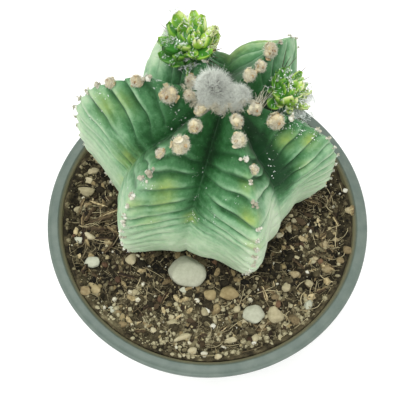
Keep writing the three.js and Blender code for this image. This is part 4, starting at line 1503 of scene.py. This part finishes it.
def dark_crown_hairs(rng, radius):
    """A few dark dry bristles that stick out of the fleece near its middle."""
    count = 64
    centre = np.array([0.6, 17.0, POT_TOP + 65.2])
    roots = centre + rng.normal(0, 1, (count, 3)) * (1.3, 2.4, 0.4)
    directions = unit(np.array([0.1, -0.5, 0.9]) + 0.35 * rng.normal(0, 1, (count, 3)))
    paths = curved_paths(roots, directions, rng.uniform(1.2, 2.6, count), rng.normal(0, 0.4, (count, 3)), 4)
    radii = radius * np.array([1.0, 0.9, 0.7, 0.3])
    return strands(paths, radii, tone=rng.uniform(0, 0.4, count))


class CACTUS_OT_crown(bpy.types.Operator):
    """Grows the crown's wool and the dark bristles in it"""

    bl_idname = "cactus.make_crown"
    bl_label = "Make Crown Wool"

    def execute(self, context):
        rng = np.random.default_rng(33)
        wool = context.scene.cactus_wool
        radius = wool.hair_radius / MM
        fleece = put_piece("crown_fleece", crown_fleece(rng, wool.crown_hairs, radius),
                           fibre_material("crown_wool_grey", "#7a8074", "#e6ebe0", 0.35))
        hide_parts("crown_wool")
        bristles = put_piece("crown_bristles", dark_crown_hairs(rng, radius),
                             fibre_material("bristle_dark", "#24231f", "#5a5852", 0.0))
        skirt = put_piece("crown_skirt", wool_skirt(rng, radius),
                          fibre_material("crown_wool_tan", "#9c9474", "#dfdbc4", 0.2))
        return {"FINISHED"}


# ---------- dried flowers ----------

def curled_petal():
    """A thin petal along +Z that curls inwards: flat rings, narrow at both ends.

    Its width follows a sine, and its line leans outwards and then back over the middle.
    """
    along = np.linspace(0.04, 1, 6)[:, None]
    angle = round_steps(8)[None, :]
    width = 0.36 * np.sin(np.pi * (0.12 + 0.8 * along)) ** 0.8
    out = 0.55 * np.sin(2.4 * along)
    x = out + 0.05 * np.cos(angle) + 0.12 * np.sin(angle) ** 2 * along
    y = width * np.sin(angle)
    return ring_surface(points_of(x, y, along)[::-1])


def dried_flower(rng, centre, normal, width):
    """What is left of a flower: a felted cup, a few papery petals closed over it, and the
    brown scar in their middle."""
    radius = width / 2
    axes = frames_along(normal[None])
    shift = rng.uniform(0, 50)
    cup = ball(16, 24, lambda d: 0.86 + 0.26 * layered_noise(d * 1.7 + shift, 1.0, 13, 4))
    lobes = 4
    turn = rng.uniform(0, 6) + np.arange(lobes) * 2.2
    aside = points_round(1, turn, rng.uniform(-0.3, 0.5, lobes)) @ axes[0]
    places = centre + aside * radius * np.array([0.1, 0.42, 0.5, 0.46])[:, None]
    sizes = radius * np.array([0.8, 0.58, 0.52, 0.45])[:, None] * rng.uniform(0.85, 1.1, (lobes, 3))
    cup_place = scatter(cup, places, random_axes(rng, lobes), sizes, tone=rng.uniform(0.5, 0.95, lobes))
    top = centre + normal * radius * 0.66
    top = top + 0.3 * radius * axes[0, 0] * rng.uniform(-1, 1)
    scar_size = radius * np.array([[0.24, 0.3, 0.26]])
    scar = scatter(cup, top[None], axes, scar_size, tone=np.array([0.1]))
    count = 7
    turn = np.arange(count) * GOLDEN_ANGLE + rng.uniform(0, 6)
    ring = 0.3 + 0.5 * np.arange(count) / count
    outward = points_round(1, turn, 0) @ axes[0]
    foot = centre - normal * radius * 0.25 + outward * radius * ring[:, None] * 0.8
    lean = unit(normal + outward * ring[:, None] * rng.uniform(0.0, 1.2, (count, 1)))
    side = unit(np.cross(normal, outward))
    frames = np.stack([np.cross(side, lean), side, lean], axis=1)
    scales = radius * points_of(
        rng.uniform(0.5, 0.8, count), rng.uniform(0.8, 1.4, count), rng.uniform(0.6, 0.95, count))
    petals = scatter(curled_petal(), foot, frames, scales, tone=rng.uniform(0.3, 1.0, count))
    return join([cup_place, scar, petals])


def loose_strands(rng, radius):
    """Tan strands left over from the flowers beside the right offset, bent between two places."""
    count = 22
    foot = np.array([15.8, 14.6, POT_TOP + 56]) + rng.normal(0, 1.1, (count, 3))
    reach = np.array([2.2, 7.4, 0.6]) + rng.normal(0, 1.6, (count, 3))
    paths = curved_paths(foot, reach, rng.uniform(0.6, 1.1, count), rng.normal(0, 0.9, (count, 3)), 6)
    radii = 1.5 * radius * np.linspace(1, 0.5, 6)
    return strands(paths, radii, tone=rng.uniform(-0.5, 0.4, count))


# Tint of each dried flower in number order: 0 is tan, 1 is cream.
FLOWER_TINTS = (0.5, 0.45, 0.85, 0.3, 0.55, 0.75, 0.7, 0.35, 0.4, 0.35, 0.5, 0.45, 0.5, 0.55, 0.75, 0.5, 0.3)


class CACTUS_OT_dry_flowers(bpy.types.Operator):
    """Sets the dried flowers along the crests, each with a collar of loose wool"""

    bl_idname = "cactus.make_dry_flowers"
    bl_label = "Make Dried Flowers"

    def execute(self, context):
        radius = context.scene.cactus_wool.hair_radius / MM
        papery = speckled_material("petal_dried_papery", (
            (0.0, "#6e5030"), (0.2, "#a4875c"), (0.45, "#c4b58c"), (0.75, "#d6d0b0"), (1.0, "#e6e4d0")),
            1.1, 0.2, 0.85)
        collar = fibre_material("collar_wool_cream", "#c2b998", "#ebe8d6", 0.2)
        threads = put_piece("flower_strands", loose_strands(np.random.default_rng(99), radius), collar)
        for node in cad_nodes("dry_flower_"):
            number = int(node[-2:])
            rng = np.random.default_rng(100 + number)
            low, high = cad_box(node)
            centre = (low + high) / 2
            tilt, heading = tilt_and_heading(centre)
            normal = stem_normal(tilt, heading)
            width = 1.12 * (high - low).max()
            shape = dried_flower(rng, centre, normal, width)
            shape.values["tone"] = shape.values["tone"] * 0.7 + 0.5 * (FLOWER_TINTS[number - 1] - 0.35)
            flower = put_piece("dried_flower_" + node[-2:], shape, papery)
            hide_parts(node)
            spread = fibonacci_directions(300)
            spread = spread[spread @ normal > -0.6]
            roots = centre + spread * width * 0.38
            wool = tufts(rng, roots, spread, 4, 0.14 * width, 0.9, 0.5 * radius)
            wool_piece = put_piece("flower_wool_" + node[-2:], wool, collar)
        return {"FINISHED"}


# ---------- offsets ----------

# Each offset: its name, its middle, its radius, the way it grows, its number of bumps and
# its shaded side.
OFFSETS = (
    ("offset_left", (-8.8, 40.6, POT_TOP + 58.4), 10.4, (-0.05, 0.05, 1.0), 66, (-0.8, -0.5, -0.4)),
    ("offset_right", (27.6, 26.6, POT_TOP + 50.6), 8.2, (0.35, 0.1, 1.0), 54, (-0.3, 0.3, 0.2)),
)

# White wool that lies in the offsets' hollows: the middle of each patch, its spread and how
# many tufts it has.
OFFSET_WOOL = (
    ((-13.4, 50.3, POT_TOP + 60), 2.2, 60), ((-14.2, 40.9, POT_TOP + 61), 1.8, 60),
    ((-15.6, 45.6, POT_TOP + 60), 1.6, 40), ((-9.0, 33.4, POT_TOP + 57.5), 1.6, 30),
    ((34.0, 26.2, POT_TOP + 48.5), 2.0, 70), ((28.8, 28.3, POT_TOP + 54), 1.5, 45),
    ((33.0, 21.4, POT_TOP + 45), 2.2, 60),
)

# Dry spines that stand out of the offsets: the root and the tip of each.
LONG_SPINES = (
    ((26.6, 37.2, 157), (28.4, 40.6, 160)), ((27.6, 36.6, 157), (30.2, 39.8, 160)),
    ((25.6, 37.2, 157), (26.6, 41.6, 160.5)), ((32.0, 29.6, 157), (35.8, 28.4, 159)),
    ((32.0, 30.6, 157), (35.6, 31.8, 159)), ((31.6, 28.6, 156.5), (34.8, 25.8, 158)),
    ((30.8, 32.4, 157.5), (33.8, 35.2, 160)), ((-3.0, 39.5, 166), (0.6, 42.2, 167)),
    ((-2.6, 38.0, 165.5), (1.4, 39.4, 166.5)), ((-2.4, 36.6, 165), (2.0, 36.4, 165.5)),
    ((-2.2, 35.2, 164), (1.8, 33.6, 164.5)), ((-2.8, 41.0, 166), (-0.6, 44.6, 167.5)),
    ((-1.6, 37.4, 163.5), (2.8, 38.2, 164.5)), ((-1.8, 34.4, 162.5), (2.2, 31.4, 163.5)),
    ((-3.4, 33.4, 163), (-0.4, 30.6, 164)), ((-17.0, 45.8, 163), (-20.6, 48.4, 166)),
)


def leafy_bump():
    """One cupped bump of an offset, along +Z: a fat leaf that is hollowed on its inner side.

    Rings are flattened circles whose width swells and then closes at a blunt tip. The middle
    of each ring is pushed in, which leaves raised edges, and the whole leans inwards.
    """
    along = np.linspace(0.03, 0.985, 10)[:, None]
    angle = round_steps(16)[None, :]
    width = 0.5 * np.sin(np.pi * (0.2 + 0.76 * along)) ** 0.6
    thick = 0.2 * np.sin(np.pi * (0.2 + 0.75 * along)) ** 0.7
    across = np.sin(angle)
    hollow = 0.30 * along * (1 - across**2)
    x = thick * np.cos(angle) - 0.30 * along**2 + hollow * np.where(np.cos(angle) < 0.2, 1.0, 0.35)
    y = width * across
    edge = np.abs(across) ** 2.2 * 0.75 + 0.35 * along**3
    return ring_surface(points_of(x, y, along)[::-1], edge=edge[::-1])


def offset_shoot(rng, centre, radius, growth, count, shaded):
    """An offset: a round body with leafy bumps set on it in a spiral, each a golden angle on.

    The bumps near the tip are small and stand up. Those lower down are larger and lie back.
    Bumps that face the shaded way are painted deep green as painted shade, and those on the other
    side paler and yellower as painted light, over each bump's own random yellowing.
    """
    centre = np.array(centre)
    up = unit(np.array(growth, float))
    axes = frames_along(up[None])[0]
    core = ball(24, 36, lambda d: 0.66 + 0.05 * layered_noise(d * 2.5, 1.0, 17, 3))
    core.points = (core.points * radius) @ axes + centre
    # The body under the bumps is painted darker, as painted shade.
    core.values = {"edge": np.full(len(core.points), 0.05), "tone": np.full(len(core.points), 0.7)}

    place = np.arange(count)
    share = (place + 0.5) / count
    polar = np.arccos(1 - 1.62 * share)
    outward = directions_at(polar, place * GOLDEN_ANGLE) @ axes
    foot = centre + outward * radius * 0.56
    lean = unit(outward + up * (0.35 + 0.1 * share)[:, None] + 0.48 * rng.normal(0, 1, (count, 3)))
    inward = unit(up - lean * (lean @ up)[:, None])
    side = np.cross(lean, inward)
    frames = np.stack([-inward, side, lean], axis=1)
    size = radius * np.interp(share, (0, 0.25, 1), (0.36, 0.5, 0.58)) * rng.uniform(0.62, 1.3, count)
    depth = size * rng.uniform(0.8, 1.5, count)
    breadth = size * rng.uniform(0.55, 1.05, count)
    scales = points_of(depth, breadth, size)
    # Painted shade and painted light: bumps that face the shaded side get a darker tone, and those facing
    # away a paler, yellower edge.
    shade = outward @ unit(np.array(shaded, float))
    tone = np.clip(0.25 + 0.5 * shade + rng.normal(0, 0.22, count), 0, 1)
    leaf = leafy_bump()
    bumps = scatter(leaf, foot, frames, scales, tone=tone)
    yellow = np.clip(rng.normal(0.1, 0.18, count) - 0.32 * shade, -0.15, 0.55)
    bumps.values["edge"] = 0.7 * bumps.values["edge"] + np.repeat(yellow, len(leaf.points))
    tips = foot + lean * size[:, None] * 0.72 + inward * size[:, None] * 0.3
    return join([core, bumps]), foot, tips, outward, size


class CACTUS_OT_offsets(bpy.types.Operator):
    """Grows the two offsets, each with leafy bumps, wool between them and fine spines"""

    bl_idname = "cactus.make_offsets"
    bl_label = "Make Offsets"

    def execute(self, context):
        radius = context.scene.cactus_wool.hair_radius / MM
        skin = leafy_skin()
        chalk = speckled_material("wool_flakes_dry", (
            (0.0, "#b4c2b4"), (0.5, "#dde5de"), (1.0, "#f4f7f4")), 0.6, 0.05, 0.9)
        wool = fibre_material("offset_wool", "#ccd6cf", "#fafcfb", 0.3)
        spine = fibre_material("spine_dry", "#241a13", "#57432f", 0.0)
        rng = np.random.default_rng(70)
        patches = [np.array(middle) + rng.normal(0, spread, (number, 3)) * (1, 1, 0.5)
                   for middle, spread, number in OFFSET_WOOL]
        roots = np.concatenate(patches)
        up = np.broadcast_to((0.0, -0.2, 1.0), roots.shape)
        patch_wool = tufts(rng, roots, up, 6, 1.3, 0.9, radius)
        put_piece("offset_wool_patches", patch_wool, wool)
        ends = np.array(LONG_SPINES, float)
        reach = ends[:, 1] - ends[:, 0]
        paths = curved_paths(ends[:, 0], reach, np.ones(len(ends)), rng.normal(0, 0.35, ends[:, 0].shape), 6)
        thickness = 2.3 * radius * np.linspace(1, 0.4, 6)
        long_spines = strands(paths, thickness, tone=rng.uniform(0, 0.5, len(ends)))
        put_piece("offset_long_spines", long_spines, spine)
        for number, (name, centre, size, growth, count, shaded) in enumerate(OFFSETS):
            rng = np.random.default_rng(50 + number)
            body, feet, tips, outward, bump_size = offset_shoot(rng, centre, size, growth, count, shaded)
            shoot = put_piece(name + "_shoot", body, skin)
            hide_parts(name)
            hair = tufts(rng, tips, outward, 3, 0.1 * size, 0.8, radius * 0.8)
            between = feet + outward * bump_size[:, None] * 0.55
            fluff = tufts(rng, between, outward, 5, 0.16 * size, 0.9, radius)
            near = rng.choice(rng.permutation(len(tips))[:22], 260)
            spots = tips[near] + rng.normal(0, 0.08 * size, (len(near), 3))
            axes = frames_along(rng.normal(0, 1, spots.shape))
            scales = rng.uniform(0.07, 0.2, (len(near), 1)) * rng.uniform(0.5, 2.6, (len(near), 3))
            flakes = scatter(grain(rng), spots, axes, scales, tone=rng.uniform(0.4, 1.0, len(near)))
            put_piece(name + "_flakes", flakes, chalk, smooth=False)
            chosen = rng.permutation(len(tips))[:14]
            thorns = tufts(rng, tips[chosen], outward[chosen], 2, 0.42 * size, 0.3, radius * 0.7)
            for label, shape, material in (("wool", join([hair, fluff]), wool), ("spines", thorns, spine)):
                put_piece(name + "_" + label, shape, material)
        return {"FINISHED"}


# ---------- stage ----------

class StageSizes(bpy.types.PropertyGroup):
    """The camera and the studio's light."""

    lens: bpy.props.FloatProperty(
        name="Lens", description="Focal length on a 36 mm wide sensor, in millimetres", default=45.0)
    elevation: bpy.props.FloatProperty(
        name="Elevation", description="The camera's height above the horizon, seen from the rim",
        default=math.radians(67.22), unit="ROTATION", subtype="ANGLE")
    distance: bpy.props.FloatProperty(
        name="Distance", description="From the middle of the rim to the camera",
        default=220.2 * MM, **LENGTH)
    roll: bpy.props.FloatProperty(
        name="Roll", description="The camera's turn about its own line of sight",
        default=math.radians(2.57), unit="ROTATION", subtype="ANGLE")
    sky: bpy.props.FloatProperty(
        name="Sky", description="Strength of the white surroundings", default=0.86)
    key: bpy.props.FloatProperty(
        name="Key Light", description="Power of the soft light above", default=3.2, subtype="POWER")


# Where the middle of the rim falls in the photograph, in pixels from its top left corner,
# and the photograph's width.
RIM_MIDDLE_PIXEL = (207.5, 209.0)
PHOTO_WIDTH = 400
SENSOR_WIDTH = 36


def placed(axes, place):
    """A matrix that turns an object's X, Y and Z along three axes and sets it at a place."""
    matrix = np.eye(4)
    matrix[:3, :3] = np.transpose(axes)
    matrix[:3, 3] = place
    return Matrix(matrix.tolist())


def camera_matrix(sizes):
    """The camera's place and axes.

    It first looks straight at the middle of the rim, rolled by the roll. It is then turned so
    that the middle of the rim falls on its own pixel instead of on the picture's middle.
    """
    eye = np.array([0, -math.cos(sizes.elevation), math.sin(sizes.elevation)]) * sizes.distance
    forward = unit(-eye)
    right = unit(np.cross(forward, (0, 0, 1)))
    up = np.cross(right, forward)
    cos, sin = math.cos(sizes.roll), math.sin(sizes.roll)
    view = np.array([cos * right + sin * up, cos * up - sin * right, forward])
    focal = sizes.lens / SENSOR_WIDTH * PHOTO_WIDTH
    across = (RIM_MIDDLE_PIXEL[0] - PHOTO_WIDTH / 2) / focal
    down = (RIM_MIDDLE_PIXEL[1] - PHOTO_WIDTH / 2) / focal
    aim = unit(np.array([across, -down, 1.0]))
    axis = np.cross((0, 0, 1), aim)
    cross = np.array([[0, -axis[2], axis[1]], [axis[2], 0, -axis[0]], [-axis[1], axis[0], 0]])
    turn = np.eye(3) + cross + cross @ cross / (1 + aim[2])
    right, up, forward = turn @ view
    return placed((right, up, -forward), eye + (0, 0, POT_TOP * MM))


def area_light(name, place, target, size, power):
    """Adds a square soft light that faces its target."""
    data = bpy.data.lights.new(name, "AREA")
    data.size = size
    data.energy = power
    light = bpy.data.objects.new(name, data)
    bpy.context.scene.collection.objects.link(light)
    back = unit(np.array(place, float) - np.array(target, float))
    axes = frames_along(back[None])[0]
    light.matrix_world = placed((axes[0], axes[1], back), place)


class CACTUS_OT_stage(bpy.types.Operator):
    """Sets the camera, the pale floor and the soft studio light"""

    bl_idname = "cactus.make_stage"
    bl_label = "Make Stage"

    def execute(self, context):
        sizes = context.scene.cactus_stage
        camera_data = bpy.data.cameras.new("camera")
        camera_data.lens = sizes.lens
        camera_data.sensor_width = SENSOR_WIDTH
        camera_data.clip_start = 0.01
        camera = bpy.data.objects.new("camera", camera_data)
        context.scene.collection.objects.link(camera)
        camera.matrix_world = camera_matrix(sizes)
        context.scene.camera = camera

        mesh = bpy.data.meshes.new("floor")
        half = 3.0
        corners = [(-half, -half, 0), (half, -half, 0), (half, half, 0), (-half, half, 0)]
        mesh.from_pydata(corners, [], [(0, 1, 2, 3)])
        mesh.materials.append(studio_floor())
        floor = bpy.data.objects.new("floor", mesh)
        context.scene.collection.objects.link(floor)

        world = bpy.data.worlds.new("studio_white")
        world.use_nodes = True
        background = world.node_tree.nodes["Background"]
        background.inputs["Color"].default_value = linear("#ffffff")
        background.inputs["Strength"].default_value = sizes.sky
        context.scene.world = world
        context.scene.view_settings.view_transform = "Standard"
        target = (0, 0, POT_TOP * MM)
        area_light("key_light", (-0.12, -0.12, 0.8), target, 0.4, sizes.key)
        return {"FINISHED"}


# ---------- panel and registration ----------

OPERATORS = (
    CACTUS_OT_stage,
    CACTUS_OT_pot,
    CACTUS_OT_soil,
    CACTUS_OT_stones,
    CACTUS_OT_stem,
    CACTUS_OT_areoles,
    CACTUS_OT_crown,
    CACTUS_OT_dry_flowers,
    CACTUS_OT_offsets,
)

SIZE_GROUPS = {
    "cactus_stage": StageSizes,
    "cactus_pot": PotSizes,
    "cactus_soil": SoilSizes,
    "cactus_stem": StemSizes,
    "cactus_wool": WoolSizes,
}


class CACTUS_PT_panel(bpy.types.Panel):
    """Lists the cactus' sizes and the pieces that can be made"""

    bl_label = "Potted Cactus"
    bl_idname = "CACTUS_PT_panel"
    bl_space_type = "VIEW_3D"
    bl_region_type = "UI"
    bl_category = "Cactus"

    def draw(self, context):
        for name, group in SIZE_GROUPS.items():
            column = self.layout.column(align=True)
            for key in group.__annotations__:
                column.prop(getattr(context.scene, name), key)
        for operator in OPERATORS:
            self.layout.operator(operator.bl_idname)


def register():
    for group in SIZE_GROUPS.values():
        bpy.utils.register_class(group)
    for name, group in SIZE_GROUPS.items():
        setattr(bpy.types.Scene, name, bpy.props.PointerProperty(type=group))
    for operator in OPERATORS:
        bpy.utils.register_class(operator)
    bpy.utils.register_class(CACTUS_PT_panel)


def unregister():
    bpy.utils.unregister_class(CACTUS_PT_panel)
    for operator in reversed(OPERATORS):
        bpy.utils.unregister_class(operator)
    for name, group in SIZE_GROUPS.items():
        delattr(bpy.types.Scene, name)
        bpy.utils.unregister_class(group)


def main():
    """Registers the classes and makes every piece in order."""
    register()
    bpy.ops.cactus.make_stage()
    bpy.ops.cactus.make_pot()
    bpy.ops.cactus.make_soil()
    bpy.ops.cactus.make_stones()
    bpy.ops.cactus.make_stem()
    bpy.ops.cactus.make_areoles()
    bpy.ops.cactus.make_crown()
    bpy.ops.cactus.make_dry_flowers()
    bpy.ops.cactus.make_offsets()


if __name__ == "__main__":
    main()
